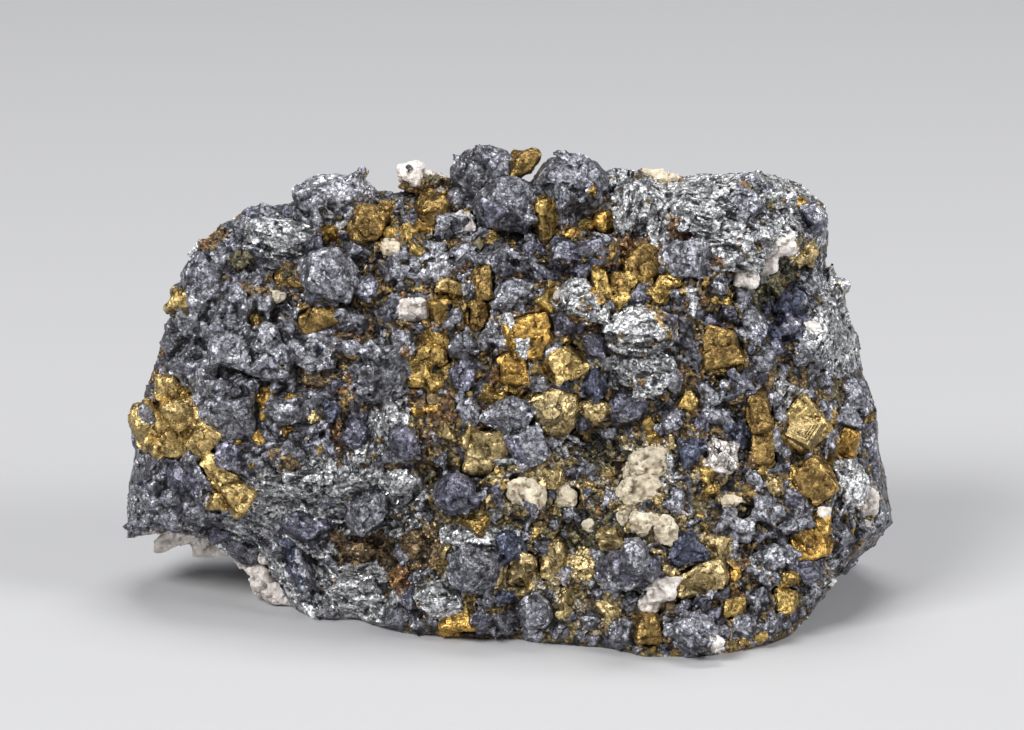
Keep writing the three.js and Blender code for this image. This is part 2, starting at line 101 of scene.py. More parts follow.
# Each mineral's colours, from its darkest crystals to its palest
COLOURS = {
    "slate": ((0.084, 0.085, 0.100), (0.560, 0.565, 0.630)),
    "mist": ((0.220, 0.225, 0.258), (0.730, 0.735, 0.795)),
    "indigo": ((0.060, 0.058, 0.082), (0.330, 0.325, 0.420)),
    "blue": ((0.028, 0.032, 0.054), (0.185, 0.205, 0.295)),
    "silver": ((0.380, 0.385, 0.390), (0.960, 0.965, 0.975)),
    "brass": ((0.200, 0.125, 0.034), (0.640, 0.450, 0.150)),
    "gilt": ((0.300, 0.205, 0.066), (0.830, 0.620, 0.270)),
    "bronze": ((0.110, 0.070, 0.024), (0.460, 0.305, 0.105)),
    "amber": ((0.270, 0.150, 0.034), (0.760, 0.480, 0.130)),
    "tan": ((0.140, 0.090, 0.040), (0.430, 0.300, 0.150)),
    "rust": ((0.120, 0.058, 0.022), (0.430, 0.245, 0.105)),
    "olive": ((0.070, 0.066, 0.036), (0.300, 0.270, 0.150)),
    "khaki": ((0.290, 0.215, 0.090), (0.740, 0.585, 0.300)),
    "cream": ((0.360, 0.280, 0.180), (0.860, 0.780, 0.610)),
    "rose": ((0.620, 0.560, 0.510), (0.930, 0.880, 0.840)),
    "black": ((0.008, 0.008, 0.010), (0.040, 0.040, 0.046)),
}

# The painted shade colour that each mineral's hollows, and the feet of its small crystals, darken to
PAINTED_SHADE_COLOURS = {
    "slate": (0.024, 0.022, 0.024), "mist": (0.050, 0.050, 0.056), "indigo": (0.012, 0.012, 0.022),
    "blue": (0.006, 0.008, 0.024), "silver": (0.010, 0.010, 0.011), "brass": (0.045, 0.022, 0.006),
    "gilt": (0.090, 0.045, 0.010), "bronze": (0.030, 0.014, 0.004), "amber": (0.090, 0.036, 0.008),
    "tan": (0.030, 0.017, 0.008), "rust": (0.026, 0.009, 0.004), "olive": (0.012, 0.011, 0.006),
    "khaki": (0.035, 0.025, 0.010), "cream": (0.110, 0.070, 0.035), "rose": (0.150, 0.100, 0.070),
    "black": (0.003, 0.003, 0.003),
}

# Which mineral lies where on the face. Each line is a mineral, its middle across and up, its width and
# height, its turn in degrees, and the share of it there. Later lines lie over earlier ones.
PATCHES = [
    ("indigo", 0, 35, 110, 80, 0, 0.22),
    ("tan", -2, 41, 64, 34, 0, 0.17),
    ("rust", -2, 41, 60, 32, 0, 0.10),
    ("brass", 4, 33, 62, 46, 0, 0.16),
    ("khaki", 8, 17, 44, 26, 0, 0.30),
    ("cream", 12, 17, 26, 22, 0, 0.10),
    ("olive", 8, 20, 40, 26, 0, 0.12),
    ("brass", 0, 35, 24, 16, 0, 0.16),
    ("khaki", 0, 27.5, 20, 9, 0, 0.34),
    ("khaki", 3, 11.5, 13, 7, 0, 0.50),
    ("khaki", 10, 6, 9, 6, 0, 0.55),
    ("cream", 8, 6, 12, 6, 0, 0.22),
    ("tan", -34, 34, 24, 30, 0, 0.06),
    # the silvery broken parts
    ("silver", 27.8, 55.5, 25, 13, -3, 0.80),
    ("silver", 25.6, 54.6, 7, 6, 0, 0.95),
    ("silver", 18.1, 52.8, 4, 4, 0, 0.95),
    ("silver", 22.5, 57.8, 6, 5, 0, 0.95),
    ("silver", 14.4, 57.1, 3.8, 10.6, -4, 0.90),
    ("silver", 40.3, 45.9, 2.6, 9.5, 12, 0.90),
    ("silver", 40.6, 40.2, 8, 9, 10, 0.92),
    ("silver", 8.1, 45.2, 5.5, 3.4, 0, 0.70),
    ("silver", 6.5, 51.8, 2, 2.5, 0, 0.90),
    ("silver", 23.1, 45.5, 1.8, 3.8, 0, 0.80),
    ("silver", 16.3, 38.4, 10.6, 11, 0, 0.62),
    ("silver", -18.1, 35.9, 3, 5, 0, 0.80),
    ("silver", -16.5, 28.8, 11, 4, 55, 0.90),
    ("silver", -23.1, 15.2, 26, 21, 0, 0.62),
    ("tan", -17.5, 14.0, 10.5, 4.6, -10, 0.80),
    ("rust", -16.5, 14.2, 9, 3.5, -10, 0.30),
    ("tan", -11.3, 14.4, 5.6, 5, 40, 0.80),
    ("rust", -13.7, 10.6, 2.8, 4.2, 0, 0.75),
    ("silver", -3.8, 15.3, 10.8, 4.8, 0, 0.97),
    ("silver", -18.2, 10.0, 6.4, 4.8, 0, 0.97),
    ("silver", -9.2, 8.0, 5.6, 5.6, 0, 0.92),
    ("silver", -20.5, 7.0, 15, 3.6, -8, 0.88),
    ("silver", -16.8, 21.4, 12.4, 4.8, 0, 0.90),
    ("silver", -27.8, 21.3, 11, 7.2, 20, 0.92),
    ("indigo", -25.8, 16.9, 5, 3, 0, 0.85),
    ("blue", -26.4, 12.2, 3.2, 5.6, 20, 0.85),
    ("silver", -46.2, 19, 3, 4.5, 0, 0.60),
    ("silver", 7.5, 27.1, 3.8, 3, 0, 0.60),
    ("silver", 20, 24, 2, 3.8, 0, 0.80),
    ("silver", 34.4, 33.4, 3.4, 3.4, 0, 0.80),
    ("silver", 41.9, 22.8, 6, 7.5, 0, 0.85),
    ("silver", 32.5, 12.8, 4.5, 4, 0, 0.60),
    ("silver", 36.9, 12.1, 3.5, 3, 0, 0.60),
    ("silver", 32.5, 18.4, 4, 4, 0, 0.50),
    ("silver", 0, 42.4, 2.4, 2, 0, 0.80),
    ("silver", -28.6, 53.0, 10, 5.4, -12, 0.85),
    ("silver", -20.5, 55.6, 5.4, 2, 0, 0.80),
    ("silver", 6.5, 59.6, 3, 2.4, 0, 0.60),
    ("silver", 1.9, 38.8, 2.5, 1.8, 0, 0.90),
    # tetrahedrite over it
    ("slate", -22.1, 58.4, 11.5, 5.6, 2, 0.94),
    ("slate", -2.6, 59.4, 11, 11, 0, 0.97),
    ("slate", 7.5, 59.2, 9, 8.8, 0, 0.90),
    ("slate", 22.5, 51.2, 3.4, 3.6, 0, 0.95),
    ("slate", 37.8, 55.5, 3.4, 3, 0, 0.95),
    ("slate", -39, 44.4, 3, 4, 0, 0.95),
    ("slate", -23.8, 48.4, 7, 5.4, -25, 0.90),
    ("slate", -31, 39.5, 17, 15, 0, 0.90),
    ("slate", -26, 31, 13, 7, 0, 0.82),
    ("slate", -16.1, 36, 7.2, 7.6, 0, 0.94),
    ("slate", -6.9, 21.1, 5.6, 5.8, 0, 0.97),
    ("slate", 14.8, 11.8, 8.4, 5.6, 12, 0.94),
    ("slate", 3.1, 6.3, 5, 4.6, 0, 0.90),
    ("slate", 23.1, 4, 5.4, 5.4, 0, 0.90),
    ("slate", 28, 33.7, 6, 3.2, 0, 0.95),
    ("slate", 34.5, 17.5, 8, 6, 0, 0.80),
    ("slate", 3.8, 35, 3, 2.5, 0, 0.90),
    ("slate", 0.4, 31.1, 5, 2.8, 0, 0.90),
    ("slate", -4.4, 11.4, 3, 4, 0, 0.90),
    ("slate", -17.8, 18.4, 4.8, 4.6, 0, 0.92),
    ("slate", -12.9, 14, 3, 2.6, 0, 0.85),
    ("indigo", 9.6, 50.5, 11.4, 7.6, 0, 0.88),
    ("indigo", -21.6, 31.2, 2.3, 3, 0, 0.95),
    ("indigo", -13.1, 28.4, 2.8, 4.4, 0, 0.80),
    ("indigo", 24.5, 6.9, 2.8, 2.6, 0, 0.90),
    ("blue", 34.4, 43.4, 5.4, 8, 0, 0.88),
    ("blue", 6.5, 34.5, 2, 1.6, 0, 0.95),
    ("blue", 10.3, 34.6, 2, 3.3, 0, 0.90),
    ("blue", 23.1, 26.5, 2.6, 4, 0, 0.75),
    ("blue", 0, 14, 2.8, 3, 0, 0.90),
    ("blue", -0.6, 8.1, 3.5, 1.6, 0, 0.90),
    ("mist", -21.6, 59.4, 8.5, 3.4, 2, 0.85),
    ("mist", -39.1, 45, 2.7, 2.6, 0, 0.95),
    ("mist", -39.9, 42.9, 2.6, 2.4, 0, 0.95),
    ("mist", -24.4, 49.4, 4.6, 2.4, -25, 0.85),
    ("mist", -33.6, 39.6, 4.4, 3.4, 0, 0.85),
    ("mist", -28.4, 41.2, 3, 2.2, 0, 0.80),
    ("mist", -26.4, 40.2, 3.2, 2, -20, 0.80),
    ("mist", -37.5, 38, 3.6, 2.6, 0, 0.70),
    ("mist", -12, 49.5, 9, 5, 0, 0.35),
    ("mist", 12.8, 12.6, 6, 3, 0, 0.50),
    ("mist", 32.3, 18.4, 3.6, 3.6, 0, 0.85),
    ("mist", 24.5, 8.4, 2.2, 2, 20, 0.95),
    ("mist", 22.6, 51.6, 3, 2.6, 0, 0.85),
    ("mist", 20.5, 52.2, 2.2, 1.4, 20, 0.90),
    ("mist", 40, 27, 2.4, 4.2, 0, 0.90),
    # the pitted green-grey hollows
    ("olive", -33.4, 50, 2.2, 2.2, 0, 0.80),
    ("olive", 35, 49.6, 4, 3.4, 0, 0.75),
    ("olive", 31.9, 45.2, 6.6, 4.6, 0, 0.72),
    ("olive", 12.5, 26.5, 6.8, 5.4, 0, 0.72),
    ("olive", 10, 16.5, 8, 5.6, 0, 0.60),
    ("black", 1.6, 45.6, 2.5, 1.3, 0, 0.90),
    ("black", 11, 18, 6, 3, 0, 0.35),
    # brassy and rusty parts that are not crystals of their own
    ("rust", -37.5, 53.6, 9.4, 3.0, 42, 0.90),
    ("tan", -37.5, 53.2, 9.0, 3.0, 42, 0.50),
    ("tan", -10.6, 60.2, 4.4, 1.8, 0, 0.80),
    ("tan", -31.9, 46.4, 3, 2, 0, 0.80),
    ("tan", -27.2, 48.8, 3, 1.8, 0, 0.85),
    ("tan", -29.5, 47, 9, 4.4, 0, 0.35),
    ("tan", -45, 35.9, 2.8, 2.5, 0, 0.80),
    ("tan", -23, 44, 7, 4.4, 0, 0.60),
    ("brass", -23.1, 44, 6.4, 3.8, 0, 0.45),
    ("brass", -16.8, 55, 4.6, 6, 0, 0.75),
    ("amber", -16.2, 56.9, 2.4, 1.8, 0, 0.85),
    ("amber", -22.4, 53.6, 2.5, 2, 0, 0.85),
    ("brass", -31.9, 42.5, 1.6, 1.6, 0, 0.80),
    ("brass", -28.8, 42.1, 1, 2.5, 0, 0.90),
    ("brass", -12.8, 53.6, 1.4, 2.3, 0, 0.90),
    ("amber", -9.6, 56.4, 4.4, 5, 0, 0.80),
    ("brass", -11.8, 51.5, 1.6, 1.6, 0, 0.80),
    ("brass", 1.9, 62.3, 3.4, 3.4, 0, 0.90),
    ("brass", 10.5, 62, 1.8, 1.8, 0, 0.90),
    ("brass", 4.4, 56, 2.6, 4.6, 0, 0.80),
    ("amber", 11.3, 58.8, 2.2, 4, 0, 0.70),
    ("amber", 11.9, 54.6, 2.8, 2.2, 0, 0.85),
    ("amber", 8.1, 53.8, 2.4, 1.4, 0, 0.85),
    ("amber", 9.4, 51.3, 1.4, 1.2, 0, 0.90),
    ("amber", 11.9, 50.8, 1.8, 1.8, 0, 0.80),
    ("amber", 10.9, 48.4, 2.2, 2.2, 0, 0.90),
    ("amber", 11.2, 46.4, 2.2, 2.4, 0, 0.85),
    ("brass", 16.3, 49.4, 4.6, 4.6, 0, 0.80),
    ("rust", 17.5, 51.2, 3, 2.4, 0, 0.60),
    ("rust", 15.5, 51.5, 6, 5, 0, 0.35),
    ("brass", 13.8, 47, 3, 3, 0, 0.80),
    ("rust", 21, 53.6, 2.8, 3.6, 0, 0.75),
    ("rust", 25.8, 50.2, 1.8, 2.2, 0, 0.75),
    ("amber", 36.5, 57.1, 2, 1.3, 0, 0.85),
    ("khaki", 36.2, 51.5, 3.4, 3.4, 0, 0.70),
    ("brass", 20, 47.7, 3.4, 2.2, 0, 0.80),
    ("brass", 18.8, 45.8, 2, 1.7, 0, 0.85),
    ("rust", 24.2, 45.2, 1.3, 1.6, 0, 0.85),
    ("rust", -3.5, 46.5, 3, 8, 0, 0.60),
    ("brass", -3.4, 46, 2.4, 7, 0, 0.45),
    ("amber", -7.4, 46.5, 3.3, 2, -10, 0.85),
    ("brass", -8.4, 44, 2.2, 3.2, 0, 0.75),
    ("amber", -20, 39, 2, 2, 0, 0.60),
    ("tan", -24, 35.5, 3.8, 2.6, 0, 0.80),
    ("rust", -20.6, 34.2, 2, 2, 0, 0.70),
    ("brass", -9.8, 37, 6, 4.4, 0, 0.70),
    ("rust", -10.9, 31.2, 2.4, 1, 0, 0.90),
    ("rust", -8.1, 31.5, 2.2, 3.2, 0, 0.75),
    ("brass", -2.2, 33.4, 3.6, 2.4, 0, 0.80),
    ("amber", 2.3, 40.9, 6, 5.4, 10, 0.55),
    ("brass", 4, 38, 10, 8, 0, 0.55),
    ("khaki", 5, 31.2, 6.6, 5, -6, 0.85),
    ("khaki", 10.4, 31.8, 3.4, 2.6, 0, 0.80),
    ("brass", -1.8, 27, 7, 6.4, 0, 0.72),
    ("brass", 26.5, 39, 5, 6, 0, 0.80),
    ("brass", 31.2, 29, 2.8, 9.4, 0, 0.80),
    ("rust", 32.1, 34.6, 1.4, 1.9, 0, 0.85),
    ("brass", 36.8, 29, 5.4, 6, 0, 0.80),
    ("brass", 40.4, 30.6, 2.8, 1.8, 0, 0.80),
    ("amber", 42, 27.4, 2.6, 4.6, -25, 0.70),
    ("brass", 37.9, 22.6, 6, 6, 0, 0.80),
    ("rust", 30.6, 25.2, 1.4, 1.9, 0, 0.80),
    ("brass", 25, 21.5, 1.9, 1.9, 0, 0.80),
    ("amber", 37.6, 14.8, 5.4, 4, 15, 0.80),
    ("amber", 38.9, 17.6, 1.8, 3.8, 0, 0.80),
    ("khaki", -1, 11.4, 2, 4, 0, 0.80),
    ("khaki", 1.6, 11.2, 2.8, 4.6, 0, 0.80),
    ("khaki", 5, 12.6, 3.2, 5, 0, 0.80),
    ("khaki", 24, 10.4, 6.8, 4.2, 15, 0.80),
    ("amber", 27.8, 11, 2.2, 1.7, 0, 0.90),
    ("brass", 28, 6.7, 2.7, 2, 0, 0.80),
    ("brass", 34.6, 10.3, 2.7, 1.7, 0, 0.80),
    ("brass", 34.4, 7.6, 2.4, 2.8, 0, 0.80),
    ("brass", 17.5, 3.6, 3.4, 3.8, 0, 0.80),
    ("brass", 28.4, 2.2, 3.2, 2.7, 0, 0.70),
    ("brass", 31.2, 3.1, 1.5, 1.5, 0, 0.80),
    ("rust", 29.5, 12.5, 1.5, 1.5, 0, 0.85),
    ("rust", 28.5, 8.1, 1.5, 1.5, 0, 0.85),
    ("amber", -6.6, 4.6, 4, 2.8, 0, 0.85),
    ("brass", -41.5, 30.2, 9, 8.5, 0, 0.78),
    ("brass", -35.8, 22.6, 3.4, 8.4, 40, 0.78),
    # pale minerals
    ("cream", 18.6, 60.6, 3.6, 1.5, -25, 0.80),
    ("cream", 20.1, 55.9, 1.2, 1.2, 0, 0.95),
    ("cream", 20.2, 50.6, 2.3, 1.2, 0, 0.85),
    ("cream", -29, 46.4, 1.7, 1.7, 0, 0.95),
    ("cream", -15, 52.1, 1.9, 1, 0, 0.80),
    ("rose", -5.4, 52.8, 2, 1.6, 0, 0.70),
    ("rose", -35.5, 55.4, 1.5, 1.3, 0, 0.80),
    ("rose", 6.9, 46.4, 2.5, 1.7, 0, 0.60),
    ("cream", 2.2, 21.4, 5, 3.4, 0, 0.45),
    ("cream", 17.6, 25, 6.5, 8, 0, 0.60),
    ("rose", 16, 23, 8, 9, 0, 0.20),
    ("cream", 13, 21, 12, 8, 0, 0.18),
    ("cream", 4.4, 9.8, 3.6, 2.4, 0, 0.50),
    ("rose", 19, 8.4, 5, 4.6, 0, 0.45),
    ("rose", 39.1, 18.4, 1.4, 1.4, 0, 0.90),
    ("rose", 39.9, 10, 1.4, 1.4, 0, 0.90),
    ("rose", 25.8, 2.1, 1.4, 1.4, 0, 0.90),
    ("rose", -42.5, 15.4, 9, 2.2, 0, 0.75),
    ("rose", -31, 10.8, 2.6, 8, 28, 0.75),
    ("cream", 44.6, 20.4, 2.4, 4.4, 0, 0.45),
]

# Lumps and crystals that stand at places of their own: mineral, middle across and up, width, height and turn
LUMPS = [
    # upper left
    ("slate", -22.8, 48.6, 6.2, 6.2, -30), ("slate", -39.2, 48.9, 5.4, 6.0, 0),
    ("mist", -38.6, 45.0, 2.6, 3.0, 20), ("mist", -40.0, 42.8, 3.0, 3.0, 0),
    ("slate", -34.3, 44.3, 3.9, 5.4, 0), ("slate", -31.2, 56.0, 4.4, 2.6, 15),
    ("mist", -30.4, 44.5, 2.4, 2.4, 0), ("slate", -27.5, 42.4, 2.5, 3.2, 0),
    ("slate", -43.6, 40.6, 3.2, 4.6, 0), ("mist", -34.9, 39.4, 4.8, 5.0, 10),
    ("slate", -40.6, 38.8, 5.0, 4.8, 0), ("mist", -30.4, 40.6, 3.4, 3.0, 0),
    ("slate", -30.9, 37.3, 3.1, 3.4, 0), ("mist", -24.8, 38.7, 5.2, 3.8, -15),
    ("slate", -19.2, 42.4, 5.0, 4.8, 0), ("slate", -37.8, 34.8, 3.2, 4.0, 0),
    ("mist", -33.6, 35.3, 2.6, 2.3, 0), ("slate", -34.7, 30.8, 6.0, 4.6, 0),
    ("slate", -31.6, 34.4, 2.4, 2.6, 0), ("slate", -46.0, 31.5, 2.2, 3.0, 0),
    ("slate", -14.8, 48.7, 3.2, 3.8, 0), ("mist", -8.7, 49.2, 3.4, 2.8, 0),
    ("slate", -6.1, 50.8, 3.4, 2.8, 0), ("slate", -19.5, 51.2, 3.2, 2.6, 0),
    ("slate", -13.8, 56.6, 3.0, 2.6, 0), ("mist", -6.6, 58.0, 2.2, 2.6, 0),
    ("mist", -5.1, 52.6, 2.3, 1.4, 0), ("mist", -5.0, 46.4, 2.0, 2.0, 0),
    ("slate", -7.0, 61.5, 2.6, 2.2, 0), ("rose", -37.8, 53.6, 1.8, 1.4, 0),
    ("tan", -39.2, 51.6, 2.6, 2.2, 30), ("rose", -35.6, 55.4, 1.6, 1.3, 0),
    ("tan", -36.4, 53.4, 2.4, 2.0, 40), ("rust", -38.0, 52.0, 1.8, 1.6, 0),
    ("slate", -34.2, 54.4, 3.2, 2.4, 10), ("slate", -36.0, 50.4, 3.6, 2.6, 0),
    ("slate", -11.4, 48.0, 3.0, 2.8, 0), ("slate", -9.6, 51.9, 2.6, 2.2, 0),
    # left of the middle
    ("slate", -28.4, 31.1, 4.6, 3.0, -8), ("slate", -28.1, 34.4, 3.0, 4.2, -15),
    ("slate", -24.6, 33.3, 3.9, 2.8, 0), ("tan", -24.4, 35.6, 4.8, 2.0, -18),
    ("amber", -30.2, 32.9, 2.4, 1.3, 0), ("bronze", -30.2, 34.2, 2.0, 1.3, 0),
    ("amber", -27.3, 33.0, 1.5, 1.3, 0), ("amber", -30.9, 30.8, 1.2, 1.9, 0),
    ("amber", -27.8, 28.9, 1.4, 1.3, 0), ("indigo", -26.3, 27.3, 3.4, 2.4, 0),
    ("slate", -23.7, 28.4, 3.3, 3.1, 0), ("blue", -21.7, 31.4, 2.4, 2.6, 0),
    ("khaki", -24.6, 30.7, 2.3, 1.7, 0), ("indigo", -19.1, 28.8, 3.2, 4.0, 0),
    ("rust", -21.5, 28.9, 1.7, 2.2, 0), ("indigo", -13.3, 27.6, 3.2, 3.8, 0),
    ("slate", -13.9, 25.2, 4.8, 2.4, 0), ("amber", -11.0, 31.4, 2.4, 1.2, 15),
    ("amber", -31.5, 27.7, 1.5, 2.1, 0), ("bronze", -34.1, 26.9, 2.0, 1.6, 0),
    ("bronze", -32.5, 24.6, 2.0, 1.5, 0), ("indigo", -35.0, 25.4, 3.0, 2.8, 0),
    ("slate", -31.0, 26.2, 3.2, 2.4, 0), ("tan", -28.4, 25.2, 2.8, 2.6, 0),
    ("rose", -28.2, 24.5, 1.5, 1.4, 0),
    # lower left
    ("slate", -17.8, 18.5, 4.8, 4.6, 0), ("slate", -12.9, 14.0, 2.8, 2.4, 0),
    ("blue", -26.4, 12.3, 2.8, 5.4, 20), ("indigo", -25.6, 16.8, 4.4, 2.6, 0),
    ("slate", -4.3, 11.4, 4.2, 4.0, 0), ("slate", -9.9, 11.5, 2.6, 2.0, 0),
    ("slate", -11.6, 10.6, 1.8, 1.6, 0), ("blue", -0.8, 8.0, 3.4, 1.6, 0),
    # middle
    ("slate", -1.8, 50.0, 4.0, 3.2, 0), ("slate", 1.8, 52.6, 3.6, 2.4, 0),
    ("slate", 1.4, 49.4, 3.2, 3.0, 0), ("indigo", 6.0, 50.6, 3.6, 3.0, 0),
    ("indigo", 10.4, 51.8, 3.8, 2.4, 0), ("slate", -4.6, 48.9, 3.2, 2.6, 0),
    ("slate", -5.9, 39.5, 3.4, 3.4, 0), ("slate", -2.1, 40.6, 3.0, 4.6, 0),
    ("slate", 0.8, 46.0, 5.0, 3.6, 0), ("indigo", 7.4, 42.4, 4.0, 3.0, 0),
    ("indigo", 10.5, 39.6, 3.0, 3.4, 0), ("mist", 3.4, 35.0, 3.2, 2.6, 0),
    ("slate", -0.4, 31.1, 4.4, 2.6, 0), ("brass", -1.9, 33.1, 2.7, 2.3, 0),
    ("indigo", 0.2, 26.8, 1.8, 2.2, 0), ("slate", -4.7, 31.2, 2.6, 3.0, 0),
    ("indigo", -5.5, 36.0, 2.8, 3.6, 0), ("indigo", 14.5, 31.5, 4.8, 3.2, 0),
    ("slate", 8.0, 23.2, 3.0, 2.4, 0), ("silver", 7.5, 27.6, 4.4, 3.2, 0),
    ("silver", 2.0, 39.3, 2.8, 2.4, 0), ("blue", 6.4, 51.8, 2.1, 2.9, 0),
    ("slate", 4.4, 48.9, 2.6, 2.4, 0), ("slate", 3.0, 51.6, 2.6, 2.6, 0),
    ("indigo", 8.9, 49.0, 2.4, 2.2, 0), ("blue", 22.3, 14.6, 4.2, 3.4, 0),
    ("mist", 24.5, 8.4, 2.3, 2.0, 20), ("slate", 14.4, 3.6, 2.4, 2.6, 0),
    ("cream", 16.2, 17.2, 3.6, 2.8, 0), ("khaki", 12.6, 15.6, 3.0, 2.6, 0),
    ("cream", 19.6, 16.4, 2.4, 2.4, 0), ("slate", 20.6, 20.4, 2.8, 3.4, 0),
    # right
    ("slate", 25.2, 34.2, 2.8, 3.0, 0), ("indigo", 28.9, 33.8, 3.2, 3.6, 10),
    ("slate", 26.0, 30.7, 5.0, 3.0, 0), ("silver", 35.8, 33.6, 4.8, 3.0, 0),
    ("rose", 37.6, 41.9, 1.9, 1.5, 0), ("rose", 44.0, 16.6, 1.9, 1.7, 0),
    ("slate", 43.0, 33.2, 4.0, 4.0, 0), ("slate", 41.8, 30.0, 3.4, 3.0, 0),
    ("mist", 39.8, 27.4, 2.4, 3.8, 0), ("slate", 44.6, 26.8, 2.6, 3.4, 0),
    ("mist", 33.4, 27.9, 1.4, 4.0, 0), ("mist", 33.2, 24.9, 3.6, 2.6, 10),
    ("blue", 28.8, 28.2, 3.8, 2.9, 0), ("blue", 23.0, 26.2, 3.2, 3.4, 0),
    ("khaki", 32.8, 22.3, 1.7, 2.5, 0), ("mist", 30.1, 22.6, 2.2, 2.0, 0),
    ("cream", 27.9, 20.4, 2.0, 1.8, 0), ("mist", 32.2, 19.1, 3.0, 3.2, 0),
    ("slate", 35.9, 18.1, 4.0, 4.6, 0), ("mist", 29.3, 16.3, 2.4, 2.6, 0),
    ("slate", 26.6, 17.6, 3.0, 2.6, 0), ("mist", 32.2, 12.8, 4.2, 3.2, 0),
    ("indigo", 36.8, 11.4, 4.0, 2.9, 0), ("slate", 37.0, 9.0, 2.8, 2.8, 0),
    ("mist", 44.2, 16.6, 2.2, 1.8, 0), ("indigo", 37.8, 55.3, 3.2, 3.6, 0),
    ("slate", 22.4, 50.2, 3.8, 3.6, 0), ("mist", 20.6, 51.4, 2.4, 1.8, 20),
    ("slate", 26.1, 47.5, 3.2, 3.3, 0), ("slate", 29.0, 45.4, 2.4, 3.6, 0),
    ("olive", 33.0, 46.6, 4.0, 3.0, 0), ("blue", 34.6, 44.6, 3.6, 4.0, 0),
    ("indigo", 35.4, 41.0, 3.0, 4.0, 0), ("khaki", 37.0, 51.4, 2.8, 3.4, 0),
    ("slate", 11.8, 52.2, 2.6, 2.8, 0),
]

# The chalcopyrite solids that are not plain brass, by mineral
SOLIDS_BY_MINERAL = {
    "gilt": (
        "left_star_1", "left_star_2", "left_bar", "left_edge", "amber_chip", "middle_2", "right_pyramid",
    ),
    "bronze": (
        "tan_hollow", "upper_left", "upper_ball", "crown_bead", "upper_right", "amber_vein", "tan_field",
        "right_block", "right_blade", "right_wedge", "bottom_block",
    ),
    "amber": ("under_crown", "middle_1", "right_prism", "lower_right", "bottom_left"),
    "khaki": ("olive_dome", "olive_chip", "lower_middle", "lower_long", "olive_long", "olive_short"),
}
SOLID_MINERALS = {
    "chalcopyrite_" + name: mineral for mineral, names in SOLIDS_BY_MINERAL.items() for name in names
}

# The chalcopyrite solids that are rounded masses
DOMES = ("chalcopyrite_olive_dome", "chalcopyrite_olive_chip", "chalcopyrite_upper_ball")

# The terraced crystals: mineral, middle across and up the face, width, height, turn, and how far each faces
# up and to the left
TERRACED = [
    ("khaki", 36.7, 29.0, 6.2, 5.6, 14, 0.30, 0.20),
    ("khaki", 24.3, 10.2, 6.2, 3.4, 8, 0.50, -0.20),
]

# How much of each mineral shows in the matrix between the lumps, and on the sides that are not crystal face
MATRIX_MIX = [("tan", 0.18), ("brass", 0.16), ("olive", 0.12), ("rust", 0.06), ("black", 0.14)]
BACK_MIX = [
    ("silver", 0.34), ("indigo", 0.12), ("tan", 0.06), ("rust", 0.05), ("brass", 0.03), ("rose", 0.01),
]

# More lumps and crystals grow in stages, the largest first. Each stage has its smallest and largest size, how
# many places are tried, how close they may stand and how deep they are sunk, as shares of their size, and the
# share of those that would stand on others. The lumps fuse with the masses, and the crystals stand on them.
# LUMP_SPACE is the room that a lump keeps from later ones, and crystals keep clear of big lumps only.
LUMP_STAGES = [
    (3.2, 5.0, 4000, 0.43, 0.26, 0.10),
    (2.0, 3.2, 12000, 0.42, 0.22, 0.12),
    (1.2, 2.0, 22000, 0.46, 0.22, 0.10),
]
CRYSTAL_STAGES = [
    (1.4, 2.4, 5000, 0.55, 0.28, 0.30),
    (0.8, 1.4, 14000, 0.64, 0.28, 0.30),
    (0.4, 0.7, 9000, 0.90, 0.20, 0.35),
]
LUMP_SPACE = 0.37
BIG_LUMP = 3

# A place is in sight where it faces into the stone by less than IN_SIGHT, and on edge where it faces in and
# out by less than ON_EDGE. Then come the shares of lumps that are kept out of sight, on other minerals and on
# clean lumps, the share that a ball loses, and the share that has the mineral of the ground below it.
IN_SIGHT = 0.3
ON_EDGE = 0.42
KEPT_OUT_OF_SIGHT = 0.4
KEPT_ON_MINERALS = 0.22
KEPT_ON_CLEAN_LUMPS = 0.02
LOST_ON_A_BALL = 0.6
OF_ITS_GROUND = 0.9

# A place is covered where another part of the stone lies this near over it
COVERED_WITHIN = 4

# The power that makes the smaller sizes of a stage commoner, the room that a lump keeps from the floor as a
# share of its size, and how much larger silvery splinters are drawn
SMALLER_OFTEN = 1.5
FLOOR_ROOM = 0.35
SPLINTER_SCALE = 1.3

# The reach of a lump's tip from its foot and of its other ends from its middle, as shares of its size, and
# how far they may stand out over the stone's outline
TIP_REACH = 0.75
END_REACH = 0.42
OVER_THE_OUTLINE = 0.35
END_OVER_THE_OUTLINE = 0.55

# The largest lump on a crystal ball, where the face turns away, and on other minerals, and the largest of
# rust, tan or pale minerals
LARGEST_ON_A_BALL = 1.4
LARGEST_ON_AN_EDGE = 2.2
LARGEST_ON_MINERALS = 2.0
LARGEST_OF_CRUST = 1.7

# The largest patch of the face that is a lump of its own, the least share that it holds of its mineral, how
# far such a lump is turned to the front, and how much larger than its width it is drawn
FEATURE_LIMIT = 4.6
FEATURE_SHARE = 0.8
FEATURE_TURN = 0.8
FEATURE_SCALE = 1.35

# The tones of bare ore, and of bare silvery ore
BARE_TONE = 0.35
BARE_SILVER_TONE = 0.20

# Hollows and edges, for the painted shade and light of the masses: how many rounds the surface is smoothed in
# to find them, and how deep is fully dark
FINE_HOLLOWS = (3, 0.10)
BROAD_HOLLOWS = (30, 0.55)

# The painted shade at the small crystals' feet: how dark they are there, how fast they grow paler, and their
# darkest shade
FOOT_SHADE = 0.80
SHADE_RISE = 1.1
DARKEST_SHADE = 0.25

# How many rounds the solids are smoothed in, and the tone of the terraced crystals
ROUNDS = {"chalcopyrite": 4, "quartz": 6, "carbonate": 6}
TERRACED_TONE = 0.18

# The high corner of the block's top edge: its middle across, half its width, and how high it may reach
HIGH_CORNER = (24.6, 4.0, 60.9)

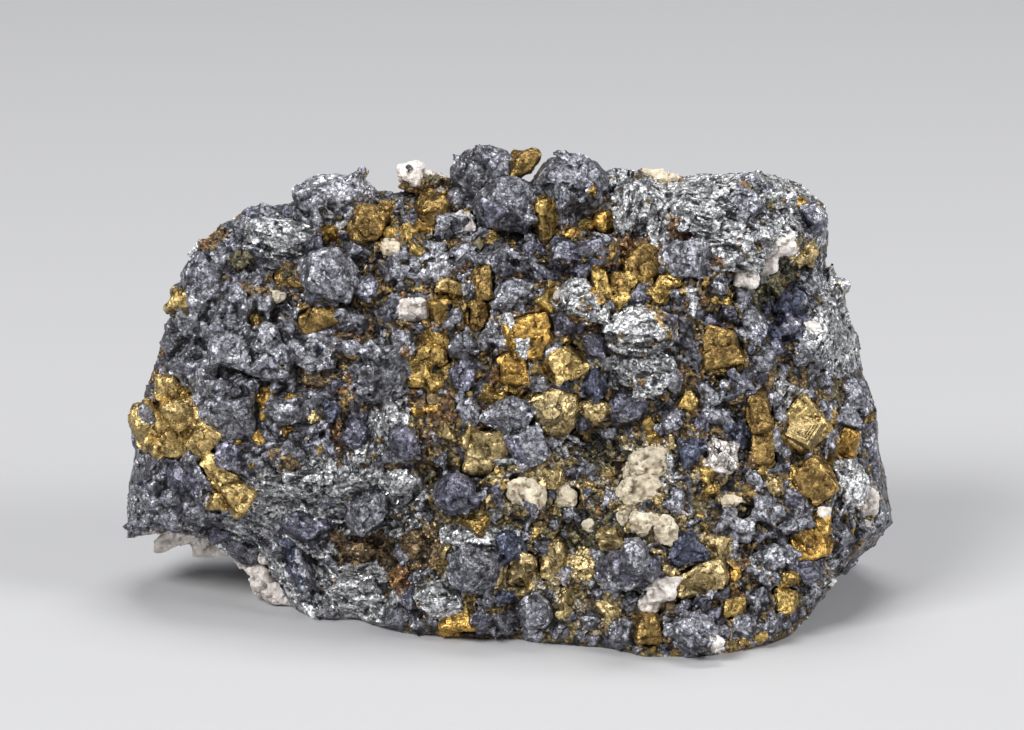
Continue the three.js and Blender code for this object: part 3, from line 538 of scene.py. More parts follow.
# A lump at a place of its own is a large crystal with smaller ones grown through it: the share of its size
# that each has, and how far each may stand from its middle. Thin lumps have no smaller ones.
TWINS = [(1.0, 0.0), (0.56, 0.34), (0.46, 0.40)]
THIN_LUMP = 2.4

# How deep a large crystal ball and a small one are sunk, as shares of their size, and where large begins
BALL_SUNK = 0.44
SMALL_BALL_SUNK = 0.30
LARGE_BALL = 5.5

# Lumps with broad clean faces, where little grows: their middles across and up, widths and heights
CLEAN_LUMPS = [
    (-22.1, 58.4, 10.4, 4.8), (-6.9, 21.1, 5, 5), (14.8, 11.8, 7.6, 4.8), (-39, 44.4, 3, 4.6),
    (-24.2, 48.8, 5, 3), (5, 31.2, 6.4, 5), (36.8, 29.4, 6, 6.4), (38, 22.6, 5, 5),
]

# The crystal balls and rounded masses of the face: their minerals, middles across and up, widths, heights and
# tones. Only small lumps break their round shape, and the grey ones hold little but tetrahedrite.
BALLS = [
    ("slate", -3.1, 61.1, 8.8, 7.4, 0.1), ("slate", -0.2, 57.2, 8.6, 7.4, 0.0),
    ("slate", 7.5, 59.4, 9.6, 8.8, 0.05), ("slate", -16.1, 36, 7.8, 7.8, 0.15),
    ("indigo", -6.9, 21.1, 5.2, 5.4, 0.35), ("slate", 3.1, 6.4, 4.6, 4.6, 0.4),
    ("slate", 23.1, 3.8, 5.4, 5.4, 0.4), ("indigo", 14.8, 11.8, 8.2, 5.2, 0.5),
    ("mist", -22.1, 58.5, 10.6, 5.4, 0.45), ("khaki", 5.0, 31.6, 7.8, 6.2, 0.7),
    ("khaki", -0.4, 25.6, 7.2, 4.8, 0.7), ("silver", 16.0, 41.6, 9.2, 6.2, 0.7),
    ("silver", 16.8, 36.8, 8.2, 5.6, 0.4), ("silver", -28.2, 53.2, 8.4, 4.6, 0.7),
    ("silver", 42.0, 22.3, 5.6, 6.2, 0.8), ("silver", -3.6, 15.4, 9.4, 4.4, 0.7),
    ("silver", -17.2, 8.2, 8.6, 4.2, 0.7), ("silver", -8.4, 7.4, 5.6, 3.8, 0.6),
    ("silver", -13.4, 22.8, 6.2, 4.2, 0.6), ("silver", 8.4, 46.0, 4.6, 4.2, 0.7),
    ("tan", -17.4, 14.0, 7.4, 3.6, 0.7), ("tan", -11.0, 14.8, 5.6, 4.4, 0.65),
    ("rust", -13.4, 10.6, 3.6, 4.2, 0.8), ("rose", 26.5, 25.7, 2.6, 2.6, 0.8),
    ("rose", 25.5, 26.9, 2.0, 2.0, 0.6), ("rose", 27.6, 26.8, 1.9, 2.0, 0.7),
    ("rose", 25.4, 24.7, 2.0, 1.9, 0.6), ("rose", 27.5, 24.7, 2.0, 1.9, 0.7),
    ("rose", 26.4, 23.6, 1.8, 1.5, 0.6),
]
DARK_OVALS = [row[1:5] for row in BALLS if row[0] in ("slate", "indigo", "mist")]
ROUND_OVALS = [row[1:5] for row in BALLS] + [(9.6, 50.6, 10.5, 5.6), (-9.6, 56.4, 4.4, 5)]

# The run of the fibres in the silvery parts: across and up the face, and their turn in degrees
GRAIN = [
    (27, 55, -15), (15.5, 56, 82), (22, 46, 85), (16, 41.5, 6), (16, 36, -20), (40, 42, 60),
    (-16.5, 28.8, 55), (-24, 20, 12), (-28, 12, -35), (-15.6, 8.6, 8), (-3.5, 15.6, 6),
    (-28.8, 53.4, -10), (-20.5, 55.6, 16), (42, 22, 70), (33, 15, 30), (-18, 36, 80),
]
GRAIN_STRETCH = 3.0


# Tools


def face_point(across, up, depth):
    """A point of the stone, from where it is seen across and up the face and how deep it lies, in metres."""
    spread = 1 + (depth - READ_DEPTH) / EYE_DISTANCE
    true_up = EYE_UP + (up - EYE_UP) * spread
    point = UP_FACE * true_up + INTO_STONE * depth
    return Vector((EYE_ACROSS + (across - EYE_ACROSS) * spread, point[1] - MIDDLE_BACK, point[2])) * MM


def eye_point():
    return face_point(*AIMED_AT, READ_DEPTH) - Vector(INTO_STONE) * EYE_DISTANCE * MM


def sight_line(point):
    """The direction from the eye to a point."""
    return (Vector(point) - eye_point()).normalized()


def seen_at(points):
    """Where points of the stone, in metres, are seen: across and up the face, and their depth."""
    x, y, z = (points / MM).T
    y = y + MIDDLE_BACK
    depth = y * math.cos(LEAN) - z * math.sin(LEAN)
    true_up = y * math.sin(LEAN) + z * math.cos(LEAN)
    spread = 1 + (depth - READ_DEPTH) / EYE_DISTANCE
    return EYE_ACROSS + (x - EYE_ACROSS) / spread, EYE_UP + (true_up - EYE_UP) / spread, depth


def deselect_all():
    if bpy.context.object and bpy.context.object.mode != "OBJECT":
        bpy.ops.object.mode_set(mode="OBJECT")
    bpy.ops.object.select_all(action="DESELECT")


def only(piece):
    deselect_all()
    piece.select_set(True)
    bpy.context.view_layer.objects.active = piece


def mesh_piece(name, points, faces):
    mesh = bpy.data.meshes.new(name)
    mesh.from_pydata(points, [], faces)
    mesh.update()
    piece = bpy.data.objects.new(name, mesh)
    bpy.context.scene.collection.objects.link(piece)
    return piece


def points_of(mesh):
    points = np.empty(len(mesh.vertices) * 3, np.float32)
    mesh.vertices.foreach_get("co", points)
    return points.reshape(-1, 3).astype(float)


def normals_of(mesh):
    normals = np.empty(len(mesh.vertices) * 3, np.float32)
    mesh.vertex_normals.foreach_get("vector", normals)
    return normals.reshape(-1, 3).astype(float)


def triangles_of(mesh):
    mesh.calc_loop_triangles()
    corners = np.empty(len(mesh.loop_triangles) * 3, np.int32)
    mesh.loop_triangles.foreach_get("vertices", corners)
    return corners.reshape(-1, 3)


def set_points(mesh, points):
    mesh.vertices.foreach_set("co", points.astype(np.float32).ravel())
    mesh.update()


def give_colours(mesh, colours):
    """Stores a colour for each vertex."""
    attribute = mesh.attributes.new("hue", "FLOAT_COLOR", "POINT")
    four = np.ones((len(colours), 4), np.float32)
    four[:, :3] = colours
    attribute.data.foreach_set("color", four.ravel())


def give_vectors(mesh, name, vectors):
    attribute = mesh.attributes.new(name, "FLOAT_VECTOR", "POINT")
    attribute.data.foreach_set("vector", vectors.astype(np.float32).ravel())


def vectors_of(mesh, name):
    vectors = np.empty(len(mesh.vertices) * 3, np.float32)
    mesh.attributes[name].data.foreach_get("vector", vectors)
    return vectors.reshape(-1, 3).astype(float)


def scrambled(cells, seed):
    """Three random numbers from 0 to 1 for each whole-numbered cell, the same each time."""
    mixed = (cells[:, 0] * 73856093) ^ (cells[:, 1] * 19349663) ^ (cells[:, 2] * 83492791)
    mixed = mixed ^ (seed * 2654435761)
    values = []
    for turn in range(3):
        mixed = (mixed ^ (mixed >> 15)) * (2246822519 + 2 * turn) & 0xFFFFFFFF
        mixed = (mixed ^ (mixed >> 13)) * 3266489917 & 0xFFFFFFFF
        mixed = mixed ^ (mixed >> 16)
        values.append(mixed / 0xFFFFFFFF)
    return np.stack(values, axis=1)


def nearest_cells(points, size, seed):
    """For each point, the vector from the nearest centre of a scattered grid, and three random numbers."""
    home = np.floor(points / size).astype(np.int64)
    least = np.full(len(points), np.inf)
    offset = np.zeros_like(points)
    chance = np.zeros_like(points)
    for step in itertools.product((-1, 0, 1), repeat=3):
        cell = home + np.array(step)
        random = scrambled(cell, seed)
        away = points - (cell + random) * size
        distance = (away ** 2).sum(axis=1)
        nearer = distance < least
        least[nearer] = distance[nearer]
        offset[nearer] = away[nearer]
        chance[nearer] = random[nearer]
    return offset, chance


def facet_heights(points, facets, seed):
    """Heights, in millimetres, of broken flat facets: each cell is a tilted flat of its own."""
    heights = np.zeros(len(points))
    for turn, (size, height) in enumerate(facets):
        away, chance = nearest_cells(points, size, seed + turn)
        slope = (scrambled((chance * 1e6).astype(np.int64), seed + 7) - 0.5) * 2 * FACET_TILT
        heights += (chance[:, 0] - 0.5) * 2 * height + (away * slope).sum(axis=1) * height / size * 2
    return heights


def soft_noise(points, size, seed):
    """Smooth random numbers from 0 to 1 at each point, with swells of the size given."""
    at = points / size
    home = np.floor(at).astype(np.int64)
    part = at - home
    part = part * part * (3 - 2 * part)
    total = np.zeros(len(points))
    for corner in itertools.product((0, 1), repeat=3):
        weight = np.ones(len(points))
        for axis in range(3):
            weight *= part[:, axis] if corner[axis] else 1 - part[:, axis]
        total += weight * scrambled(home + np.array(corner), seed)[:, 0]
    return total


def turns(count, rng):
    """Random rotation matrices, all directions alike."""
    q = rng.normal(size=(count, 4))
    q /= np.linalg.norm(q, axis=1, keepdims=True)
    w, x, y, z = q.T
    return np.stack([
        1 - 2 * (y * y + z * z), 2 * (x * y - z * w), 2 * (x * z + y * w),
        2 * (x * y + z * w), 1 - 2 * (x * x + z * z), 2 * (y * z - x * w),
        2 * (x * z - y * w), 2 * (y * z + x * w), 1 - 2 * (x * x + y * y),
    ], axis=1).reshape(-1, 3, 3)


def aligned_turns(normals, angles):
    """Rotations whose third axis is the normal and whose first lies at an angle across the face."""
    first = np.stack([np.cos(angles), np.zeros(len(angles)), np.zeros(len(angles))], axis=1)
    first += np.sin(angles)[:, None] * UP_FACE
    second = np.cross(normals, first)
    second /= np.linalg.norm(second, axis=1, keepdims=True) + 1e-9
    first = np.cross(second, normals)
    return np.stack([first, second, normals], axis=2)


# Which mineral lies where


MINERALS = list(COLOURS)


def number_of(*names):
    return [MINERALS.index(name) for name in names]


def picked_from(mix, luck):
    """The number of a mineral of the mix, or -1, for each number from 0 to 1."""
    chosen = np.full(len(luck), -1)
    reach = 0.0
    for mineral, share in mix:
        chosen[(luck >= reach) & (luck < reach + share)] = MINERALS.index(mineral)
        reach += share
    return chosen


def hollowness(mesh, points, normals, rounds):
    """How far each point lies in a hollow (above nothing) or out on an edge (below it), in millimetres,
    beside the surface smoothed in a number of rounds."""
    ends = np.empty(len(mesh.edges) * 2, np.int32)
    mesh.edges.foreach_get("vertices", ends)
    first, second = ends.reshape(-1, 2).T
    count = np.maximum(np.bincount(ends, minlength=len(points)), 1)
    smooth = points.copy()
    for _ in range(rounds):
        for axis in range(3):
            value = smooth[:, axis]
            total = np.bincount(first, value[second], len(points))
            total += np.bincount(second, value[first], len(points))
            smooth[:, axis] = total / count
    return ((smooth - points) * normals).sum(axis=1) / MM


def minerals_at(points, outward, rng=None):
    """The mineral of each place, as its number in MINERALS. With rng each place has its own luck in each line
    of the patches, and without it the luck changes smoothly over the surface."""
    across, up, _ = seen_at(points)
    across = across + (soft_noise(points / MM, 1.3, 11) - 0.5) * 1.6
    up = up + (soft_noise(points / MM, 1.3, 12) - 0.5) * 1.6
    chosen = np.full(len(points), MINERALS.index("slate"))

    def luck(number, places):
        if rng:
            return rng.random(len(places))
        return (soft_noise(points[places] / MM, 0.8, 100 + number) - 0.5) * 1.5 + 0.5

    seen = outward @ INTO_STONE < 0.45
    for number, (mineral, middle, height, width, tall, turn, share) in enumerate(PATCHES):
        angle = math.radians(turn)
        right = (across - middle) * math.cos(angle) + (up - height) * math.sin(angle)
        above = (up - height) * math.cos(angle) - (across - middle) * math.sin(angle)
        inside = np.flatnonzero(seen & ((right / (width / 2)) ** 2 + (above / (tall / 2)) ** 2 < 1))
        chosen[inside[luck(number, inside) < share]] = MINERALS.index(mineral)
    unseen = np.flatnonzero(~seen)
    behind = picked_from(BACK_MIX, luck(len(PATCHES), unseen))
    chosen[unseen[behind >= 0]] = behind[behind >= 0]
    return chosen


def colours_for(minerals, tone):
    """The colour of each mineral, from its darkest at tone 0 to its palest at tone 1."""
    low = np.array([COLOURS[name][0] for name in MINERALS])[minerals]
    high = np.array([COLOURS[name][1] for name in MINERALS])[minerals]
    return low + (high - low) * np.clip(tone, 0, 1)[:, None]


def grain_angles(points):
    """The run of the fibres at each place: that of the nearest line of GRAIN."""
    across, up, _ = seen_at(points)
    lines = np.array(GRAIN, float)
    away = (across[:, None] - lines[:, 0]) ** 2 + (up[:, None] - lines[:, 1]) ** 2
    return np.radians(lines[np.argmin(away, axis=1), 2])


def along_grain(points):
    """Places in millimetres along, across and under the fibres, drawn together along them."""
    across, up, depth = seen_at(points)
    angle = grain_angles(points)
    along = across * np.cos(angle) + up * np.sin(angle)
    over = up * np.cos(angle) - across * np.sin(angle)
    return np.stack([along / GRAIN_STRETCH, over, depth], axis=1)


# The shapes that are repeated, modelled once each


# No corner of a shape stands further from its middle than this share of its size
LONGEST = 0.66


def modelled(add, *steps):
    """A shape made by adding a primitive and taking steps in edit mode, as its points and triangles."""
    deselect_all()
    add()
    piece = bpy.context.object
    bpy.ops.object.mode_set(mode="EDIT")
    for step in steps:
        bpy.ops.mesh.select_all(action="SELECT")
        step()
    bpy.ops.mesh.select_all(action="SELECT")
    bpy.ops.mesh.quads_convert_to_tris()
    bpy.ops.mesh.normals_make_consistent(inside=False)
    bpy.ops.object.mode_set(mode="OBJECT")
    points, faces = points_of(piece.data), triangles_of(piece.data)
    bpy.data.objects.remove(piece)
    # A bevel leaves its faces in a new order each time, so they are put in order
    faces = np.array([np.roll(face, -face.argmin()) for face in faces])
    faces = faces[np.lexsort(faces.T[::-1])]
    points -= (points.max(axis=0) + points.min(axis=0)) / 2
    points /= max(np.abs(points).max() * 2, np.linalg.norm(points, axis=1).max() / LONGEST)
    return points, faces


def bevelled(offset, affect):
    return lambda: bpy.ops.mesh.bevel(offset=offset, segments=1, affect=affect)


def jostled(offset, seed):
    return lambda: bpy.ops.transform.vertex_random(offset=offset, seed=seed)


def poked(offset):
    return lambda: bpy.ops.mesh.poke(offset=offset)


def stepped(thickness, depth):
    return lambda: bpy.ops.mesh.inset(thickness=thickness, depth=depth, use_individual=True)


def stretched(x, y, z):
    return lambda: bpy.ops.transform.resize(value=(x, y, z))


def tetrahedron():
    bpy.ops.mesh.primitive_cone_add(vertices=3, radius1=1, radius2=0, depth=math.sqrt(2))


def cut_pyramid():
    bpy.ops.mesh.primitive_cone_add(vertices=4, radius1=0.80, radius2=0.62, depth=0.5)


def cube():
    bpy.ops.mesh.primitive_cube_add(size=2)


def ball():
    bpy.ops.mesh.primitive_ico_sphere_add(subdivisions=1, radius=1)


def faceted_ball():
    bpy.ops.mesh.primitive_ico_sphere_add(subdivisions=2, radius=1)


def prism():
    bpy.ops.mesh.primitive_cone_add(vertices=6, radius1=1, radius2=0.15, depth=2.4)


def crystal_shapes():
    """Tetrahedrons with cut corners or raised faces, raised cubes and many-sided lumps."""
    return [
        modelled(tetrahedron, bevelled(0.42, "VERTICES"), jostled(0.05, 1)),
        modelled(tetrahedron, bevelled(0.16, "EDGES"), jostled(0.05, 8)),
        modelled(tetrahedron, poked(0.25), jostled(0.08, 3)),
        modelled(cube, poked(0.7), jostled(0.14, 4)),
        modelled(ball, jostled(0.30, 5)),
        modelled(cube, bevelled(0.6, "VERTICES"), jostled(0.16, 6)),
        modelled(ball, stretched(1, 0.8, 0.9), jostled(0.34, 7)),
        modelled(tetrahedron, stretched(1, 0.8, 1), stepped(0.2, 0.16), jostled(0.06, 9)),
    ]


def terraced(margin, rise):
    """A step up, a margin in from the edge of the highest face."""
    def step():
        bpy.ops.mesh.select_mode(type="FACE")
        bpy.ops.mesh.select_all(action="DESELECT")
        bpy.ops.object.mode_set(mode="OBJECT")
        highest = max(bpy.context.object.data.polygons, key=lambda face: face.center.z)
        highest.select = True
        bpy.ops.object.mode_set(mode="EDIT")
        bpy.ops.mesh.inset(thickness=margin, depth=0)
        bpy.ops.mesh.extrude_region_move(TRANSFORM_OT_translate={"value": (0, 0, rise)})
    return step


def terraced_shape():
    """A cut pyramid with terraces round its flat top."""
    return modelled(
        cut_pyramid, terraced(0.09, 0.06), terraced(0.08, 0.06), terraced(0.07, 0.05), jostled(0.012, 41),
    )


def splinter_shapes():
    """Thin broken plates and slivers."""
    return [
        modelled(cube, stretched(1, 0.34, 0.3), jostled(0.14, 11)),
        modelled(cube, stretched(1, 0.5, 0.24), jostled(0.16, 12)),
        modelled(cube, stretched(1, 0.26, 0.36), jostled(0.16, 13)),
    ]


def chunk_shapes():
    """Angular lumps with no habit of their own."""
    return [
        modelled(cube, jostled(0.3, 21)),
        modelled(cube, stretched(1, 0.75, 0.85), bevelled(0.5, "VERTICES"), jostled(0.14, 22)),
        modelled(tetrahedron, poked(0.3), jostled(0.12, 23)),
        modelled(cube, stretched(1, 0.7, 0.6), jostled(0.26, 24)),
    ]


def quartz_shapes():
    """Short six-sided points and broken grains."""
    return [
        modelled(prism, jostled(0.06, 31)),
        modelled(ball, jostled(0.24, 32)),
        modelled(cube, stretched(1, 0.8, 0.7), bevelled(0.45, "VERTICES"), jostled(0.12, 33)),
    ]


def round_mass():
    """A rounded mass with small flats."""
    return modelled(faceted_ball, jostled(0.14, 51))


# Placing many copies


def placed(shapes, places, rotations, sizes, rng):
    """Points and triangles of many copies of a few shapes, and whose copy each triangle is."""
    picks = rng.integers(len(shapes), size=len(places))
    all_points, all_faces, owners, first = [], [], [], 0
    for number, (points, faces) in enumerate(shapes):
        chosen = np.flatnonzero(picks == number)
        if not len(chosen):
            continue
        copied = np.einsum("nij,nmj->nmi", rotations[chosen], points[None] * sizes[chosen][:, None, :] * MM)
        copied += places[chosen][:, None, :]
        starts = first + np.arange(len(chosen)) * len(points)
        all_points.append(copied.reshape(-1, 3))
        all_faces.append((faces[None] + starts[:, None, None]).reshape(-1, 3))
        owners.append(np.repeat(chosen, len(faces)))
        first += len(chosen) * len(points)
    points = np.concatenate(all_points)
    points[:, 2] = np.maximum(points[:, 2], 0)
    return points, np.concatenate(all_faces), np.concatenate(owners)


class Surface:
    """Closed meshes that crystals grow on. Each triangle has a kind: the number of its mineral, or ORE where
    the patches of the face say what grows."""

    def __init__(self, points, faces, kinds):
        self.points, self.faces, self.kinds = points, faces, kinds

    def joined(self, points, faces, kinds):
        return Surface(
            np.concatenate([self.points, points]), np.concatenate([self.faces, faces + len(self.points)]),
            np.concatenate([self.kinds, kinds]),
        )

    def samples(self, count, rng):
        """Places all over it, evenly by area, with the direction and kind of each."""
        a, b, c = (self.points[self.faces[:, corner]] for corner in range(3))
        normals = np.cross(b - a, c - a)
        areas = np.linalg.norm(normals, axis=1)
        picked = rng.choice(len(self.faces), size=count, p=areas / areas.sum())
        s, t = rng.random(count), rng.random(count)
        s, t = np.where(s + t > 1, 1 - s, s), np.where(s + t > 1, 1 - t, t)
        places = a[picked] + (b - a)[picked] * s[:, None] + (c - a)[picked] * t[:, None]
        return places, normals[picked] / areas[picked][:, None], self.kinds[picked]

    def in_the_open(self, places, normals):
        """Which places are not covered by another part of the surface."""
        tree = BVHTree.FromPolygons(self.points.tolist(), self.faces.tolist(), all_triangles=True)
        open_ones = []
        for number, (place, normal) in enumerate(zip(places.tolist(), normals.tolist())):
            direction = Vector(normal)
            start = Vector(place) + direction * 0.02 * MM
            _, struck, _, _ = tree.ray_cast(start, direction, COVERED_WITHIN * MM)
            if struck is None or struck.dot(direction) < 0:
                open_ones.append(number)
        return np.array(open_ones, int)


NEIGHBOURS = list(itertools.product((-1, 0, 1), repeat=3))


def uncrowded(places, spaces, earlier, earlier_spaces):
    """Which places keep at least their space from all those before them and from earlier ones."""
    cell_size = max(spaces.max(), earlier_spaces.max()) * 2
    kept, chosen = {}, []
    for home, place, space in zip(
        np.floor(earlier / cell_size).astype(int).tolist(), earlier.tolist(), earlier_spaces.tolist(),
    ):
        kept.setdefault(tuple(home), []).append((*place, space))
    cells = np.floor(places / cell_size).astype(int).tolist()
    for number, (place, space) in enumerate(zip(places.tolist(), spaces.tolist())):
        home = cells[number]
        clear = True
        for step in NEIGHBOURS:
            for x, y, z, other in kept.get((home[0] + step[0], home[1] + step[1], home[2] + step[2]), ()):
                limit = space + other
                if (place[0] - x) ** 2 + (place[1] - y) ** 2 + (place[2] - z) ** 2 < limit * limit:
                    clear = False
                    break
            if not clear:
                break
        if clear:
            kept.setdefault(tuple(home), []).append((*place, space))
            chosen.append(number)
    return np.array(chosen, int)


# Lumps and crystals


ORE = -1
FAMILIES = {
    "tetrahedrite": ["slate", "mist", "indigo", "blue", "black"],
    "silver": ["silver"],
    "chalcopyrite": ["brass", "gilt", "bronze", "amber", "khaki"],
    "rusty": ["rust", "tan", "olive"],
    "carbonate": ["cream"],
    "quartz": ["rose"],
}
FAMILY_NAMES = list(FAMILIES)
FAMILY_OF = np.array([
    next(number for number, members in enumerate(FAMILIES.values()) if mineral in members)
    for mineral in MINERALS
])


class Growth:
    """Lumps or crystals: their places, rotations, sizes, minerals, tones and the directions they grow in."""

    def __init__(self, places, rotations, sizes, minerals, tones, outward):
        self.places, self.sizes, self.minerals = places, sizes, minerals
        self.columns = [places, rotations, sizes, minerals, tones, outward]

    def only(self, chosen):
        return Growth(*(column[chosen] for column in self.columns))

    def of_family(self, *families):
        numbers = [FAMILY_NAMES.index(family) for family in families]
        return self.only(np.isin(FAMILY_OF[self.minerals], numbers))


def all_of(growths):
    return Growth(*(np.concatenate(columns) for columns in zip(*(growth.columns for growth in growths))))


def within(ovals, across, up):
    """Which places of the face lie in one of the ovals."""
    found = np.zeros(len(across), bool)
    for middle, height, width, tall in ovals:
        found |= ((across - middle) / width * 2) ** 2 + ((up - height) / tall * 2) ** 2 < 1.1
    return found


def past_outline(points):
    """Which points of the stone the construction doesn't stand behind, as they are seen."""
    found = []
    for point in points.tolist():
        direction = sight_line(point)
        found.append(CONSTRUCTION.ray_cast(Vector(point) - direction * 0.1, direction)[0] is None)
    return np.array(found, bool)


def grown_on(surface, stage, earlier, rng):
    """The lumps or crystals of one stage on a surface, each of one mineral, clear of earlier lumps."""
    smallest, largest, tries, crowding, sunk, on_others = stage
    places, normals, kinds = surface.samples(tries, rng)
    size = smallest + (largest - smallest) * rng.random(tries) ** SMALLER_OFTEN
    across, up, _ = seen_at(places)
    facing = normals @ INTO_STONE
    in_sight = facing < IN_SIGHT
    wanted = in_sight | (rng.random(tries) < KEPT_OUT_OF_SIGHT)
    balls = within(ROUND_OVALS, across, up)
    wanted &= (np.abs(facing) > ON_EDGE) | (size < LARGEST_ON_AN_EDGE)
    wanted &= places[:, 2] > size * FLOOR_ROOM * MM
    wanted &= ~(balls & in_sight & ((size > LARGEST_ON_A_BALL) | (rng.random(tries) < LOST_ON_A_BALL)))
    clean = within(CLEAN_LUMPS, across, up) & in_sight
    wanted &= ~clean | (rng.random(tries) < KEPT_ON_CLEAN_LUMPS)
    on_mineral = np.isin(FAMILY_OF[np.maximum(kinds, 0)], range(2, len(FAMILIES))) & (kinds != ORE)
    wanted &= ~on_mineral | ((size < LARGEST_ON_MINERALS) & (rng.random(tries) < KEPT_ON_MINERALS))
    wanted &= (kinds == ORE) | (rng.random(tries) < on_others)
    chosen = np.flatnonzero(wanted)
    room = earlier.sizes.mean(axis=1) * LUMP_SPACE * MM
    chosen = chosen[uncrowded(places[chosen], size[chosen] * crowding * MM, earlier.places, room)]
    chosen = chosen[surface.in_the_open(places[chosen], normals[chosen])]
    tips = places[chosen] + normals[chosen] * (size[chosen, None] * TIP_REACH - OVER_THE_OUTLINE) * MM
    chosen = chosen[~past_outline(tips)]
    minerals = minerals_at(places[chosen], normals[chosen], rng)
    crusty = FAMILY_OF[minerals] > FAMILY_NAMES.index("chalcopyrite")
    crusty &= size[chosen] > LARGEST_OF_CRUST
    chosen, minerals = chosen[~crusty], minerals[~crusty]
    places, normals, kinds = places[chosen], normals[chosen], kinds[chosen]
    size, facing = size[chosen], facing[chosen]
    dark = within(DARK_OVALS, *seen_at(places)[:2]) & (rng.random(len(places)) < OF_ITS_GROUND)
    minerals = np.where(dark & (FAMILY_OF[minerals] > 0), MINERALS.index("slate"), minerals)
    same = (kinds != ORE) & (rng.random(len(kinds)) < OF_ITS_GROUND)
    minerals = np.where(same, kinds, minerals)
    deeper = 0.04 * (1 - np.clip(np.abs(facing) / 0.6, 0, 1)) + 0.08 * balls[chosen]
    places = places - normals * (size * (sunk + deeper) * MM)[:, None]
    rotations = turns(len(places), rng)
    scale = size[:, None] * (0.98 + 0.3 * rng.random((len(size), 3)))
    silver = minerals == MINERALS.index("silver")
    angles = grain_angles(places[silver]) + rng.normal(size=silver.sum()) * 0.25
    rotations[silver] = aligned_turns(normals[silver], angles)
    scale[silver] *= SPLINTER_SCALE
    tones = 0.5 * rng.random(len(places)) + 0.75 * soft_noise(places / MM, 2.2, 66) - 0.12
    grown = Growth(places, rotations, scale, minerals, np.clip(tones, 0, 1), normals)
    reach = np.maximum(scale * END_REACH - END_OVER_THE_OUTLINE, 0) * MM
    over = np.zeros(len(places), bool)
    for axis, side in itertools.product(range(3), (-1, 1)):
        over |= past_outline(places + rotations[:, :, axis] * reach[:, axis, None] * side)
    return grown.only(~over)


def feature_lumps(surface, rng):
    """The lumps at places of their own, and one for each small patch of the face without one or a solid."""
    features = list(LUMPS)
    ovals = [row[1:5] for row in LUMPS]
    for mineral, middle, height, width, tall, turn, share in PATCHES:
        small = share >= FEATURE_SHARE and max(width, tall) <= FEATURE_LIMIT
        if small and not within(ovals, *np.array([[middle], [height]])):
            features.append((mineral, middle, height, width, tall, turn))
    rows = []
    for mineral, middle, height, width, tall, turn in features:
        start = face_point(middle, height, IN_FRONT)
        struck, normal, face, _ = CONSTRUCTION.ray_cast(start, sight_line(start))
        if struck is None:
            continue
        kind = surface.kinds[face]
        if kind != ORE and FAMILY_OF[kind] == FAMILY_OF[MINERALS.index(mineral)]:
            continue
        normal = (normal - Vector(INTO_STONE) * FEATURE_TURN).normalized()
        rows.append((struck, normal, width, tall, math.radians(turn), MINERALS.index(mineral)))
    struck, normals, width, tall, angles, minerals = (np.array(column) for column in zip(*rows))
    thick = np.minimum(width, tall)
    axes = aligned_turns(normals, angles) * np.stack([width, tall, thick], axis=1)[:, None, :]
    tones = 0.30 + 0.5 * rng.random(len(rows))
    inward = np.zeros((len(rows), 3))
    for axis, side in itertools.product((0, 1), (-1, 1)):
        edge = axes[:, :, axis] * side
        inward += edge * 0.25 * past_outline(struck + edge * 0.55 * MM)[:, None]
    lumps = []
    for share, spread in TWINS:
        offset = (rng.random((len(rows), 3)) - 0.5) * 2 * spread
        centre = struck + np.einsum("nij,nj->ni", axes, offset) * MM
        centre -= normals * (thick * share * 0.20 * MM)[:, None] + inward * MM
        whole = (width + tall + thick) / 3
        spins = np.einsum("nij,njk->nik", axes, turns(len(rows), rng)) / whole[:, None, None]
        mean = FEATURE_SCALE * (thick * share if spread else whole)
        toned = np.clip(tones + (rng.random(len(rows)) - 0.5) * 0.25, 0, 1)
        grown = Growth(centre, spins, np.repeat(mean[:, None], 3, axis=1), minerals, toned, normals)
        lumps.append(grown.only(thick >= THIN_LUMP) if spread else grown)
    return all_of(lumps)


def crystal_balls():
    """The crystal balls and rounded masses."""
    places, scale, minerals, tones = [], [], [], []
    for mineral, across, up, width, tall, tone in BALLS:
        start = face_point(across, up, IN_FRONT)
        direction = sight_line(start)
        deep = (width + tall) / 2
        sunk = BALL_SUNK if deep > LARGE_BALL else SMALL_BALL_SUNK
        places.append(CONSTRUCTION.ray_cast(start, direction)[0] + direction * deep * sunk * MM)
        scale.append((width, tall, deep))
        minerals.append(MINERALS.index(mineral))
        tones.append(tone)
    count = len(places)
    normals = np.repeat(-np.array(INTO_STONE)[None], count, axis=0)
    turned = aligned_turns(normals, np.zeros(count))
    return Growth(np.array(places), turned, np.array(scale), np.array(minerals), np.array(tones), normals)


def terraced_crystals():
    """The terraced crystals on the construction's solids."""
    rows = []
    for mineral, across, up, width, tall, turn, upward, leftward in TERRACED:
        start = face_point(across, up, IN_FRONT)
        struck = CONSTRUCTION.ray_cast(start, sight_line(start))[0]
        normal = (Vector((-leftward, 0, 0)) + Vector(UP_FACE) * upward - Vector(INTO_STONE)).normalized()
        size = (width, tall, min(width, tall))
        rows.append((struck, normal, size, math.radians(turn), MINERALS.index(mineral)))
    struck, normals, scale, angles, minerals = (np.array(column) for column in zip(*rows))
    tones = np.full(len(rows), TERRACED_TONE)
    return Growth(struck, aligned_turns(normals, angles), scale, minerals, tones, normals)


